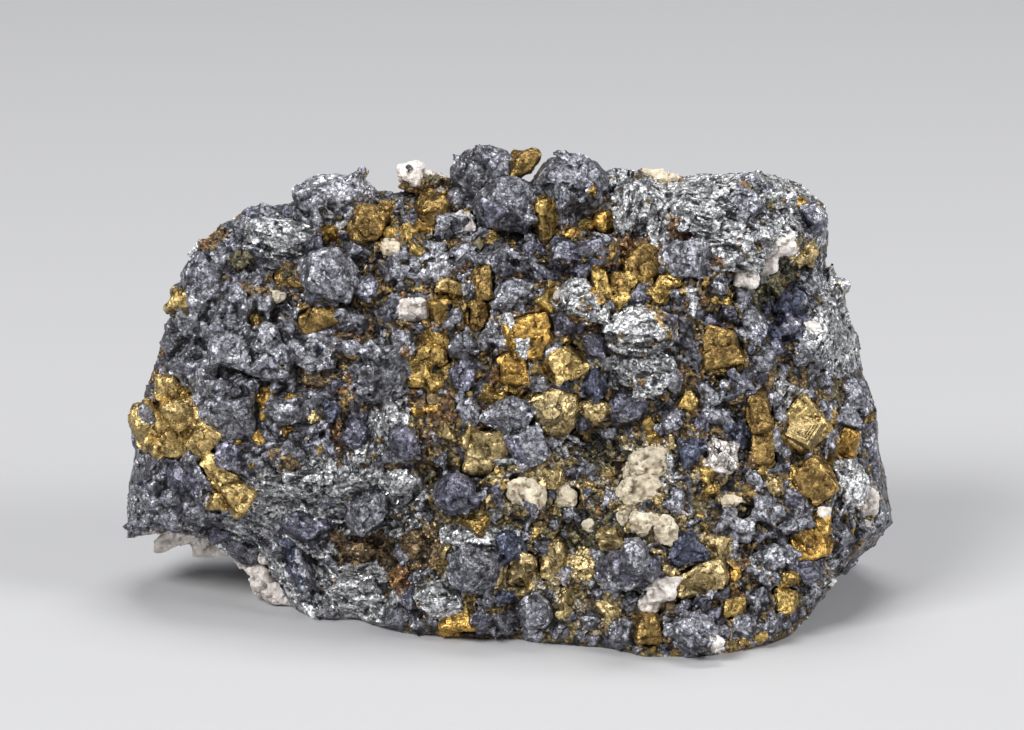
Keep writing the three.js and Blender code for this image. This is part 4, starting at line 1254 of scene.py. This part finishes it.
def copies_of(name, growth, shapes, rng):
    """One mesh of a family's copies, each in the colour of its mineral and tone, with painted shade at its
    foot.
    """
    places, rotations, sizes, minerals, tones, outward = growth.columns
    points, faces, owners = placed(shapes, places, rotations, sizes, rng)
    piece = mesh_piece(name, points, faces)
    owner = np.zeros(len(points), int)
    owner[faces.ravel()] = np.repeat(owners, 3)
    # Painted shade: each copy darkens towards its foot, blended to its mineral's shade colour
    rise = ((points - places[owner]) * outward[owner]).sum(axis=1) / sizes[owner].mean(axis=1) / MM
    shade = np.clip(FOOT_SHADE + SHADE_RISE * rise, DARKEST_SHADE, 1)[:, None]
    hollow = np.array([PAINTED_SHADE_COLOURS[name] for name in MINERALS])[minerals[owner]]
    give_colours(piece.data, colours_for(minerals, tones)[owner] * shade + hollow * (1 - shade))
    give_vectors(piece.data, "grain", along_grain(points))
    return piece


# The masses


def pressed_down(points):
    """The construction's points, with the block's high corner at the top right pressed down."""
    middle, half_width, highest = HIGH_CORNER
    across, up, _ = seen_at(points)
    high = (np.abs(across - middle) < half_width) & (up > highest)
    points[high] -= UP_FACE * (up[high] - highest)[:, None] * MM
    return points


def solid_shape(node):
    """The points and triangles of one of the construction's solids, or of a round mass in a dome's place."""
    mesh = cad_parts[node].data
    points, faces = pressed_down(points_of(mesh)), triangles_of(mesh)
    if node in DOMES:
        low, high = points.min(axis=0), points.max(axis=0)
        shape, faces = round_mass()
        points = (low + high) / 2 + shape * (high - low)
    return points, faces


def merged_copy(name, nodes):
    """A new mesh of some of the construction's solids, with their doubled vertices merged."""
    points, faces, first = [], [], 0
    for node in nodes:
        shape, triangles = solid_shape(node)
        points.append(shape)
        faces.append(triangles + first)
        first += len(shape)
    piece = mesh_piece(name, np.concatenate(points), np.concatenate(faces))
    only(piece)
    bpy.ops.object.mode_set(mode="EDIT")
    bpy.ops.mesh.select_all(action="SELECT")
    bpy.ops.mesh.remove_doubles(threshold=0.002 * MM)
    bpy.ops.object.mode_set(mode="OBJECT")
    return piece


def joined_in(piece, other):
    deselect_all()
    other.select_set(True)
    piece.select_set(True)
    bpy.context.view_layer.objects.active = piece
    bpy.ops.object.join()


def remeshed(piece, voxel):
    only(piece)
    remesh = piece.modifiers.new("even mesh", "REMESH")
    remesh.mode = "VOXEL"
    remesh.voxel_size = voxel * MM
    bpy.ops.object.modifier_apply(modifier=remesh.name)


def without_specks(piece):
    """Takes away the loose specks and the small closed hollows that the even mesh leaves."""
    mesh = piece.data
    edges = np.empty(len(mesh.edges) * 2, np.int32)
    mesh.edges.foreach_get("vertices", edges)
    ends = edges.reshape(-1, 2).T
    lowest, before = np.arange(len(mesh.vertices)), None
    while before is None or (lowest != before).any():
        before = lowest.copy()
        np.minimum.at(lowest, ends[0], before[ends[1]])
        np.minimum.at(lowest, ends[1], before[ends[0]])
        lowest = lowest[lowest]
    speck = np.bincount(lowest, minlength=len(lowest))[lowest] < SPECK_CORNERS
    only(piece)
    bpy.ops.object.mode_set(mode="EDIT")
    bpy.ops.mesh.select_all(action="DESELECT")
    bpy.ops.object.mode_set(mode="OBJECT")
    mesh.vertices.foreach_set("select", speck)
    bpy.ops.object.mode_set(mode="EDIT")
    bpy.ops.mesh.delete(type="VERT")
    bpy.ops.object.mode_set(mode="OBJECT")


def triangulated(piece):
    only(piece)
    bpy.ops.object.mode_set(mode="EDIT")
    bpy.ops.mesh.select_all(action="SELECT")
    bpy.ops.mesh.quads_convert_to_tris()
    bpy.ops.object.mode_set(mode="OBJECT")


def thinned(piece, triangles, everywhere):
    """Takes triangles away, down to a number of them in all: everywhere, or mostly behind the face."""
    present = len(triangles_of(piece.data))
    if present <= triangles:
        return
    thinner = piece.modifiers.new("thinner", "DECIMATE")
    thinner.ratio = triangles / present
    if not everywhere:
        behind = normals_of(piece.data) @ INTO_STONE > 0.1
        group = piece.vertex_groups.new(name="behind")
        group.add(np.flatnonzero(behind).tolist(), 1, "REPLACE")
        group.add(np.flatnonzero(~behind).tolist(), 0, "REPLACE")
        thinner.vertex_group = group.name
    only(piece)
    bpy.ops.object.modifier_apply(modifier=thinner.name)
    piece.vertex_groups.clear()


class Source:
    """The shapes a mass was fused from, to tell which mineral and tone each place of it has."""

    def __init__(self, piece, kinds, tones):
        self.kinds, self.tones = kinds, tones
        points, faces = points_of(piece.data), triangles_of(piece.data)
        self.tree = BVHTree.FromPolygons(points.tolist(), faces.tolist(), all_triangles=True)

    def at(self, points):
        faces = np.array([self.tree.find_nearest(point)[2] for point in points.tolist()])
        return self.kinds[faces], self.tones[faces]


def mass_of(name, nodes, kinds, grown, voxel, rng):
    """Solids of the construction fused with lumps, and the source of their minerals. kinds holds the kind of
    each of the solids' triangles, and grown the lumps with their shapes."""
    piece = merged_copy(name, nodes) if nodes else mesh_piece(name, [], [])
    tones = np.full(len(kinds), 0.5)
    for growth, shapes in grown:
        places, rotations, sizes, minerals, part_tones, _ = growth.columns
        if not len(places):
            continue
        points, faces, owners = placed(shapes, places, rotations, sizes, rng)
        joined_in(piece, mesh_piece("lumps", points, faces))
        kinds = np.concatenate([kinds, minerals[owners]])
        tones = np.concatenate([tones, part_tones[owners]])
    source = Source(piece, kinds, tones)
    remeshed(piece, voxel)
    without_specks(piece)
    return piece, source


def rounded(piece, rounds):
    only(piece)
    bpy.ops.object.mode_set(mode="EDIT")
    bpy.ops.mesh.select_all(action="SELECT")
    bpy.ops.mesh.vertices_smooth(factor=0.5, repeat=rounds)
    bpy.ops.object.mode_set(mode="OBJECT")


def warped(mesh):
    """Bends a mass out of its straight shapes, less so at the right."""
    points, normals = points_of(mesh), normals_of(mesh)
    across, _, _ = seen_at(points)
    shift = np.where(across > SHARP_FROM, WARP_SHIFT_RIGHT, WARP_SHIFT)
    swell = np.stack([soft_noise(points / MM, WARP_SWELL, seed) for seed in (91, 92, 93)], axis=1) - 0.5
    set_points(mesh, points + (swell * 2 * shift[:, None] + normals * SOLID_GROWTH) * MM)


def broken(mesh, minerals):
    """Breaks a mass's surface into facets, and into fibres where it is silvery."""
    points, normals = points_of(mesh), normals_of(mesh)
    heights = np.zeros(len(points))
    for number, (family, facets) in enumerate(FACETS.items()):
        mine = FAMILY_OF[minerals] == number
        places = along_grain(points[mine]) if family == "silver" else points[mine] / MM
        heights[mine] = facet_heights(places, facets, FACET_SEED)
    above_floor = np.clip(points[:, 2] / MM / 1.5, 0, 1)
    points = points + normals * (heights * above_floor * MM)[:, None]
    points[:, 2] = np.maximum(points[:, 2], 0)
    set_points(mesh, points)


def minerals_of_mass(points, normals, source):
    """The mineral and tone of each place of a mass: its lump's own, or what the patches say on bare ore."""
    kinds, tones = source.at(points)
    bare = minerals_at(points, normals)
    matrix = picked_from(MATRIX_MIX, (soft_noise(points / MM, 1.0, 55) - 0.5) * 1.5 + 0.5)
    across, up, _ = seen_at(points)
    browned = (across > -22) & (normals @ INTO_STONE < -0.3) & ~within(DARK_OVALS, across, up)
    browned &= np.isin(bare, number_of("slate", "indigo"))
    bare = np.where(browned & (matrix >= 0), matrix, bare)
    bare_tones = np.where(bare == MINERALS.index("silver"), BARE_SILVER_TONE, BARE_TONE)
    return np.where(kinds == ORE, bare, kinds), np.where(kinds == ORE, bare_tones, tones)


def painted(mesh, minerals, tones):
    """Colours a mass: each lump in its tone, with painted light on edges and on faces turned up, and painted
    shade in hollows.
    """
    points, normals = points_of(mesh), normals_of(mesh)
    fine, broad = (
        hollowness(mesh, points, normals, rounds) / depth for rounds, depth in (FINE_HOLLOWS, BROAD_HOLLOWS)
    )
    facet = nearest_cells(points / MM, 1.3, FACET_SEED)[1][:, 2]
    tone = 0.10 + 0.5 * tones + 0.45 * facet ** 2 + 0.25 * (soft_noise(points / MM, 0.6, 77) - 0.5)
    # Painted light and shade: faces turned up are paler, edges are paler and fine hollows darker
    tone += 0.15 * (normals @ UP_FACE) - 0.2 * np.clip(fine, -1, 1)
    # Painted shade: fine and broad hollows darken towards each mineral's shade colour
    dark = np.clip(0.7 * np.clip(fine, 0, 1) + 1.1 * np.clip(broad, 0, 1), 0, 0.95)[:, None]
    hollow = np.array([PAINTED_SHADE_COLOURS[name] for name in MINERALS])[minerals]
    give_colours(mesh, colours_for(minerals, tone) * (1 - dark) + hollow * dark)
    give_vectors(mesh, "grain", along_grain(points))


PART_NAMES = ("left", "middle_left", "middle_right", "right")


def cut_apart(piece, cuts):
    """The piece cut at some places across, with its cuts closed, as new pieces from left to right."""
    edges = [None, *cuts, None]
    parts = []
    for number, (left, right) in enumerate(zip(edges, edges[1:])):
        part = mesh_copy(piece, f"{piece.name}_{PART_NAMES[number]}")
        for place, side in ((left, 1), (right, -1)):
            if place is None:
                continue
            only(part)
            bpy.ops.object.mode_set(mode="EDIT")
            bpy.ops.mesh.select_all(action="SELECT")
            bpy.ops.mesh.bisect(
                plane_co=(place * MM, 0, 0), plane_no=(side, 0, 0), use_fill=True, clear_inner=True,
            )
            bpy.ops.mesh.select_all(action="SELECT")
            bpy.ops.mesh.quads_convert_to_tris()
            bpy.ops.object.mode_set(mode="OBJECT")
        parts.append(part)
    bpy.data.objects.remove(piece)
    return parts


def mesh_copy(piece, name):
    other = piece.copy()
    other.data = piece.data.copy()
    other.name = other.data.name = name
    bpy.context.scene.collection.objects.link(other)
    return other


# Finishes


def new_material(name):
    material = bpy.data.materials.new(name)
    material.use_nodes = True
    return material, material.node_tree, material.node_tree.nodes["Principled BSDF"]


def put(tree, kind, inputs=None, **settings):
    """Adds a node with its settings and inputs, where an input is a value or another node's output."""
    node = tree.nodes.new("ShaderNode" + kind)
    for key, value in settings.items():
        setattr(node, key, value)
    for key, value in (inputs or {}).items():
        if isinstance(value, bpy.types.NodeSocket):
            tree.links.new(value, node.inputs[key])
        else:
            node.inputs[key].default_value = value
    return node


def coordinates(tree):
    return put(tree, "TexCoord").outputs["Object"]


def noise_at(tree, size, detail=4.0, roughness=0.6):
    return put(tree, "TexNoise", {
        "Vector": coordinates(tree), "Scale": 1 / (size * MM), "Detail": detail, "Roughness": roughness,
    }).outputs["Fac"]


def ranged(tree, value, low, high, to_low, to_high):
    return put(tree, "MapRange", {
        "Value": value, "From Min": low, "From Max": high, "To Min": to_low, "To Max": to_high,
    }).outputs["Result"]


def blended(tree, share, first, second):
    node = put(tree, "Mix", {"Factor": share}, data_type="RGBA")
    for socket, value in ((node.inputs[6], first), (node.inputs[7], second)):
        if isinstance(value, bpy.types.NodeSocket):
            tree.links.new(value, socket)
        else:
            socket.default_value = (*value, 1)
    return node.outputs[2]


def added(tree, *values):
    total = values[0]
    for value in values[1:]:
        total = put(tree, "VectorMath", {0: total, 1: value}, operation="ADD").outputs[0]
    return total


def scaled(tree, value, factor):
    return put(tree, "VectorMath", {0: value, "Scale": factor}, operation="SCALE").outputs[0]


class Cells:
    """Small irregular facets in a material: a random colour for each, the nearness of its edge from 0 to 1,
    and a surface direction tilted its own way. The vector is in the same unit as the size."""

    def __init__(self, tree, vector, size, tilt, warp=0.35, line=0.07):
        noise = put(tree, "TexNoise", {"Vector": vector, "Scale": 1.2 / size, "Detail": 2.0})
        noise = noise.outputs["Color"]
        moved = scaled(tree, added(tree, noise, (-0.5, -0.5, -0.5)), warp * size * 2)
        place = added(tree, vector, moved)
        self.random = put(tree, "TexVoronoi", {"Vector": place, "Scale": 1 / size}).outputs["Color"]
        edge = put(tree, "TexVoronoi", {"Vector": place, "Scale": 1 / size}, feature="DISTANCE_TO_EDGE")
        self.edge = ranged(tree, edge.outputs["Distance"], 0.0, line, 1.0, 0.0)
        self.value = put(tree, "SeparateColor", {"Color": self.random}).outputs["Red"]
        self.shift = scaled(tree, added(tree, self.random, (-0.5, -0.5, -0.5)), tilt)


def tilted_normal(tree, *cells):
    normal = put(tree, "NewGeometry").outputs["Normal"]
    total = added(tree, normal, *(cell.shift for cell in cells))
    return put(tree, "VectorMath", {0: total}, operation="NORMALIZE").outputs[0]


def brightened(tree, colour, value, low, high):
    """The colour times a factor that runs from low to high as the value runs from 0 to 1."""
    return scaled(tree, colour, ranged(tree, value, 0.0, 1.0, low, high))


def bumped(tree, height, distance, normal):
    inputs = {"Height": height, "Distance": distance * MM, "Normal": normal}
    return put(tree, "Bump", inputs).outputs["Normal"]


def hue(tree):
    return put(tree, "Attribute", attribute_name="hue").outputs["Color"]


def tetrahedrite_finish():
    """Grey metallic crystal faces, broken into small facets with dark cracks, their pale and dark tones
    partly painted glints.
    """
    material, tree, shader = new_material("tetrahedrite crystal")
    large = Cells(tree, coordinates(tree), 1.2 * MM, 0.46)
    small = Cells(tree, coordinates(tree), 0.45 * MM, 0.40)
    coarse = noise_at(tree, 1.6)
    fine = noise_at(tree, 0.42, 5.0, 0.7)
    # Partly painted glints: each facet's random tone runs from dark to pale, and fine specks further on are
    # darkened
    colour = brightened(tree, hue(tree), large.value, 0.58, 1.32)
    colour = brightened(tree, colour, small.value, 0.60, 1.45)
    colour = blended(tree, ranged(tree, coarse, 0.58, 0.72, 0.0, 0.4), colour, (0.13, 0.085, 0.050))
    cracks = put(tree, "Math", {0: large.edge, 1: small.edge}, operation="MAXIMUM").outputs[0]
    colour = blended(tree, ranged(tree, cracks, 0.0, 1.0, 0.0, 0.70), colour, (0.016, 0.015, 0.018))
    colour = blended(tree, ranged(tree, fine, 0.50, 0.58, 0.0, 0.70), colour, (0.020, 0.020, 0.026))
    tree.links.new(colour, shader.inputs["Base Color"])
    tree.links.new(ranged(tree, small.value, 0.0, 1.0, 0.28, 0.56), shader.inputs["Roughness"])
    tree.links.new(bumped(tree, fine, 0.04, tilted_normal(tree, large, small)), shader.inputs["Normal"])
    shader.inputs["Metallic"].default_value = 0.68
    return material


def silver_finish():
    """Freshly broken ore: bright and black fibres and grains of a few tenths of a millimetre, partly painted
    glints.
    """
    material, tree, shader = new_material("silvery broken ore")
    grain = put(tree, "Attribute", attribute_name="grain").outputs["Vector"]
    fibres = Cells(tree, grain, 0.60, 0.5, 0.5, 0.09)
    grains = Cells(tree, grain, 0.24, 0.6, 0.5, 0.10)
    swell = put(tree, "TexNoise", {"Vector": grain, "Scale": 0.6, "Detail": 2.0}).outputs["Fac"]
    fine = noise_at(tree, 0.46, 4.0, 0.65)
    specks = put(tree, "TexNoise", {"Vector": grain, "Scale": 2.6, "Detail": 3.0}).outputs["Fac"]
    # Partly painted glints: the fibres' random tones, the broad pale and dark swells, and the black grains
    # and specks
    colour = brightened(tree, hue(tree), fibres.value, 0.70, 1.30)
    colour = brightened(tree, colour, swell, 1.30, 0.40)
    darkness = put(tree, "Math", {0: grains.value, 1: swell}, operation="ADD").outputs[0]
    colour = blended(tree, ranged(tree, darkness, 0.90, 0.97, 0.0, 0.96), colour, (0.012, 0.012, 0.014))
    colour = blended(tree, ranged(tree, fibres.edge, 0.0, 1.0, 0.0, 0.85), colour, (0.010, 0.010, 0.012))
    colour = blended(tree, ranged(tree, fine, 0.51, 0.55, 0.0, 0.92), colour, (0.014, 0.014, 0.016))
    colour = blended(tree, ranged(tree, specks, 0.52, 0.56, 0.0, 0.90), colour, (0.018, 0.018, 0.021))
    tree.links.new(colour, shader.inputs["Base Color"])
    tree.links.new(ranged(tree, grains.value, 0.0, 1.0, 0.20, 0.45), shader.inputs["Roughness"])
    tree.links.new(bumped(tree, fine, 0.05, tilted_normal(tree, fibres, grains)), shader.inputs["Normal"])
    shader.inputs["Metallic"].default_value = 0.45
    return material


def chalcopyrite_finish():
    """Brass with a brown skin in patches, finely rough, in small tilted facets."""
    material, tree, shader = new_material("chalcopyrite")
    facets = Cells(tree, coordinates(tree), 1.4 * MM, 0.40)
    grains = Cells(tree, coordinates(tree), 0.34 * MM, 0.28)
    coarse = noise_at(tree, 1.5, 5.0, 0.65)
    fine = noise_at(tree, 0.36, 6.0, 0.7)
    colour = brightened(tree, hue(tree), facets.value, 0.55, 1.35)
    colour = brightened(tree, colour, grains.value, 0.60, 1.40)
    colour = blended(tree, ranged(tree, coarse, 0.50, 0.64, 0.0, 0.65), colour, (0.100, 0.055, 0.018))
    colour = blended(tree, ranged(tree, facets.edge, 0.0, 1.0, 0.0, 0.2), colour, (0.040, 0.020, 0.006))
    colour = blended(tree, ranged(tree, fine, 0.50, 0.62, 0.0, 0.60), colour, (0.070, 0.038, 0.012))
    tree.links.new(colour, shader.inputs["Base Color"])
    tree.links.new(ranged(tree, grains.value, 0.0, 1.0, 0.22, 0.46), shader.inputs["Roughness"])
    tree.links.new(bumped(tree, fine, 0.06, tilted_normal(tree, facets, grains)), shader.inputs["Normal"])
    shader.inputs["Metallic"].default_value = 0.85
    return material


def earthy_finish():
    """Rust, tan and olive crusts: dull and crumbly."""
    material, tree, shader = new_material("rusty crust")
    grains = Cells(tree, coordinates(tree), 0.45 * MM, 0.5)
    coarse = noise_at(tree, 0.8, 5.0, 0.65)
    fine = noise_at(tree, 0.2, 5.0, 0.7)
    colour = brightened(tree, hue(tree), grains.value, 0.55, 1.45)
    colour = blended(tree, ranged(tree, coarse, 0.48, 0.68, 0.0, 0.6), colour, (0.045, 0.028, 0.016))
    colour = blended(tree, ranged(tree, grains.edge, 0.0, 1.0, 0.0, 0.6), colour, (0.030, 0.018, 0.010))
    tree.links.new(colour, shader.inputs["Base Color"])
    tree.links.new(bumped(tree, fine, 0.10, tilted_normal(tree, grains)), shader.inputs["Normal"])
    shader.inputs["Metallic"].default_value = 0.2
    shader.inputs["Roughness"].default_value = 0.48
    return material


def pale_finish(name, stain, roughness):
    """Quartz and carbonate: pale, a little see-through at the edges, stained and grainy."""
    material, tree, shader = new_material(name)
    faces = Cells(tree, coordinates(tree), 1.3 * MM, 0.5)
    grains = Cells(tree, coordinates(tree), 0.5 * MM, 0.4)
    coarse = noise_at(tree, 1.0, 4.0, 0.6)
    fine = noise_at(tree, 0.25, 4.0, 0.65)
    colour = brightened(tree, hue(tree), faces.value, 0.82, 1.10)
    colour = brightened(tree, colour, grains.value, 0.80, 1.12)
    colour = blended(tree, ranged(tree, coarse, 0.54, 0.72, 0.0, 0.6), colour, stain)
    colour = blended(tree, ranged(tree, grains.edge, 0.0, 1.0, 0.0, 0.3), colour, stain)
    tree.links.new(colour, shader.inputs["Base Color"])
    tree.links.new(bumped(tree, fine, 0.08, tilted_normal(tree, faces, grains)), shader.inputs["Normal"])
    shader.inputs["Roughness"].default_value = roughness
    shader.inputs["Subsurface Weight"].default_value = 0.2
    shader.inputs["Subsurface Radius"].default_value = (0.6 * MM, 0.45 * MM, 0.35 * MM)
    shader.inputs["Subsurface Scale"].default_value = 1.0
    return material


def finished(piece, materials, nodes=()):
    """Gives a piece its materials, the body it rides on and the solids that it replaces."""
    piece.data.materials.clear()
    for material in materials:
        piece.data.materials.append(material)
    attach(piece, "root")
    if nodes:
        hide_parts(*nodes)


# The stage


def floor():
    deselect_all()
    bpy.ops.mesh.primitive_plane_add(size=8)
    plane = bpy.context.object
    plane.name = "floor"
    material, _, shader = new_material("pale floor")
    shader.inputs["Base Color"].default_value = (0.50, 0.50, 0.51, 1)
    shader.inputs["Roughness"].default_value = 0.6
    plane.data.materials.append(material)


def light(name, place, size, power):
    lamp = bpy.data.lights.new(name, "AREA")
    lamp.shape = "RECTANGLE"
    lamp.size, lamp.size_y = size
    lamp.energy = power
    holder = bpy.data.objects.new(name, lamp)
    bpy.context.scene.collection.objects.link(holder)
    holder.location = place
    aim = Vector(LIT_AT) - Vector(place)
    holder.rotation_euler = aim.to_track_quat("-Z", "Y").to_euler()


def studio():
    light("key", (-0.55, -0.6, 0.75), (0.5, 0.35), 11)
    light("right", (0.8, -0.35, 0.55), (0.4, 0.5), 6.8)
    light("top", (0.05, 0.25, 0.9), (0.6, 0.3), 5)
    light("front", (0.1, -1.1, 0.25), (0.5, 0.2), 1.4)
    world = bpy.data.worlds.new("studio")
    bpy.context.scene.world = world
    world.use_nodes = True
    world.node_tree.nodes["Background"].inputs["Color"].default_value = (0.5, 0.52, 0.55, 1)
    world.node_tree.nodes["Background"].inputs["Strength"].default_value = 0.2


def camera():
    lens = bpy.data.cameras.new("camera")
    lens.sensor_width = 36
    lens.lens = lens.sensor_width * EYE_DISTANCE / FRAME_WIDTH
    lens.clip_start = 0.01
    holder = bpy.data.objects.new("camera", lens)
    bpy.context.scene.collection.objects.link(holder)
    holder.location = eye_point()
    holder.rotation_euler = Vector(INTO_STONE).to_track_quat("-Z", "Y").to_euler()
    bpy.context.scene.camera = holder


bpy.context.scene.view_settings.view_transform = "Standard"
camera()
floor()
studio()

FINISHES = {
    "tetrahedrite": tetrahedrite_finish(),
    "silver": silver_finish(),
    "chalcopyrite": chalcopyrite_finish(),
    "rusty": earthy_finish(),
    "carbonate": pale_finish("carbonate", (0.30, 0.20, 0.10), 0.7),
    "quartz": pale_finish("milky quartz", (0.36, 0.25, 0.17), 0.35),
}
NODES = {
    family: sorted(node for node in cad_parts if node.startswith(family + "_"))
    for family in ("tetrahedrite", "chalcopyrite", "quartz", "carbonate")
}


def solids_of(family):
    """The points and triangles of a mineral's solids in the construction."""
    piece = merged_copy("solids", NODES[family])
    shape = points_of(piece.data), triangles_of(piece.data)
    bpy.data.objects.remove(piece)
    return shape


def kinds_of_solids(family):
    """The kind of each triangle of a mineral's solids: bare ore, or the mineral of its solid."""
    kinds = []
    for node in NODES[family]:
        mineral = SOLID_MINERALS.get(node, FAMILIES[family][0])
        kind = ORE if family == "tetrahedrite" else MINERALS.index(mineral)
        kinds.append(np.full(len(solid_shape(node)[1]), kind))
    return np.concatenate(kinds)


def surface_of(parts):
    """One surface of several meshes, each with its points, triangles and kinds."""
    surface = Surface(*parts[0])
    for part in parts[1:]:
        surface = surface.joined(*part)
    return surface


def with_growth(surface, growth):
    """The surface with lumps on it."""
    for family in FAMILIES:
        part = growth.of_family(family)
        if len(part.places):
            points, faces, owners = placed(SHAPES[family], *part.columns[:3], rng)
            surface = surface.joined(points, faces, part.minerals[owners])
    return surface


def fused_mass(name, family, holds_solids, grown_families, voxel, triangles):
    """Makes one mass of solids and lumps, and returns its points, triangles and kinds."""
    grown = [(lumps.of_family(member), SHAPES[member]) for member in grown_families]
    if name == "ore_mass":
        grown.append((crystal_balls(), [round_mass()]))
    nodes = NODES[family] if holds_solids else []
    kinds = kinds_of_solids(family) if holds_solids else np.zeros(0, int)
    piece, source = mass_of(name, nodes, kinds, grown, voxel, rng)
    start_points = points_of(piece.data)
    give_vectors(piece.data, "start", start_points)
    minerals, _ = minerals_of_mass(start_points, normals_of(piece.data), source)
    if holds_solids and family in ROUNDS:
        rounded(piece, ROUNDS[family])
        warped(piece.data)
    broken(piece.data, minerals)
    triangulated(piece)
    thinned(piece, triangles, everywhere=not grown_families)
    minerals, tones = minerals_of_mass(vectors_of(piece.data, "start"), normals_of(piece.data), source)
    piece.data.attributes.remove(piece.data.attributes["start"])
    painted(piece.data, minerals, tones)
    finished(piece, ALL_FINISHES, nodes)
    points, faces = points_of(piece.data), triangles_of(piece.data)
    kinds = minerals[faces[:, 0]]
    piece.data.polygons.foreach_set("material_index", FAMILY_OF[kinds].astype(np.int32))
    if name == "ore_mass":
        for part in cut_apart(piece, ORE_CUTS):
            finished(part, ALL_FINISHES, nodes)
    return points, faces, kinds


# Each mass: its name, family, whether it holds the construction's solids, the families of lumps fused with
# it, how finely it is modelled and its most triangles
MASSES = [
    ("ore_mass", "tetrahedrite", True, ["tetrahedrite", "silver", "rusty"], ORE_VOXEL, ORE_TRIANGLES),
    ("chalcopyrite_crystal_masses", "chalcopyrite", True, [], SOLID_VOXEL, SOLID_TRIANGLES),
    ("chalcopyrite_lumps", "chalcopyrite", False, ["chalcopyrite"], MASS_VOXEL, LUMP_TRIANGLES),
    ("quartz_masses", "quartz", True, ["quartz"], MASS_VOXEL, PALE_TRIANGLES),
    ("carbonate_masses", "carbonate", True, ["carbonate"], MASS_VOXEL, PALE_TRIANGLES),
]
ALL_FINISHES = [FINISHES[member] for member in FAMILIES]
SHAPES = {
    "tetrahedrite": crystal_shapes(), "silver": splinter_shapes(), "chalcopyrite": chunk_shapes(),
    "rusty": chunk_shapes(), "carbonate": chunk_shapes(), "quartz": quartz_shapes(),
}
rng = np.random.default_rng(29)

surface = surface_of([(*solids_of(family), kinds_of_solids(family)) for family in NODES])
CONSTRUCTION = BVHTree.FromPolygons(surface.points.tolist(), surface.faces.tolist(), all_triangles=True)

stages = [feature_lumps(surface, rng)]
for stage in LUMP_STAGES:
    surface = with_growth(surface, stages[-1])
    stages.append(grown_on(surface, stage, all_of(stages), rng))
lumps = all_of(stages)
surface = surface_of([fused_mass(*mass) for mass in MASSES])

biggest = stages[0].only(stages[0].sizes.mean(axis=1) > BIG_LUMP)
crystals = all_of([grown_on(surface, stage, biggest, rng) for stage in CRYSTAL_STAGES])
for family in FAMILIES:
    growth = crystals.of_family(family)
    piece = copies_of(family + "_crystals", growth, SHAPES[family], rng)
    finished(piece, [FINISHES[family]])

piece = copies_of("terraced_crystals", terraced_crystals(), [terraced_shape()], rng)
finished(piece, [FINISHES["chalcopyrite"]])
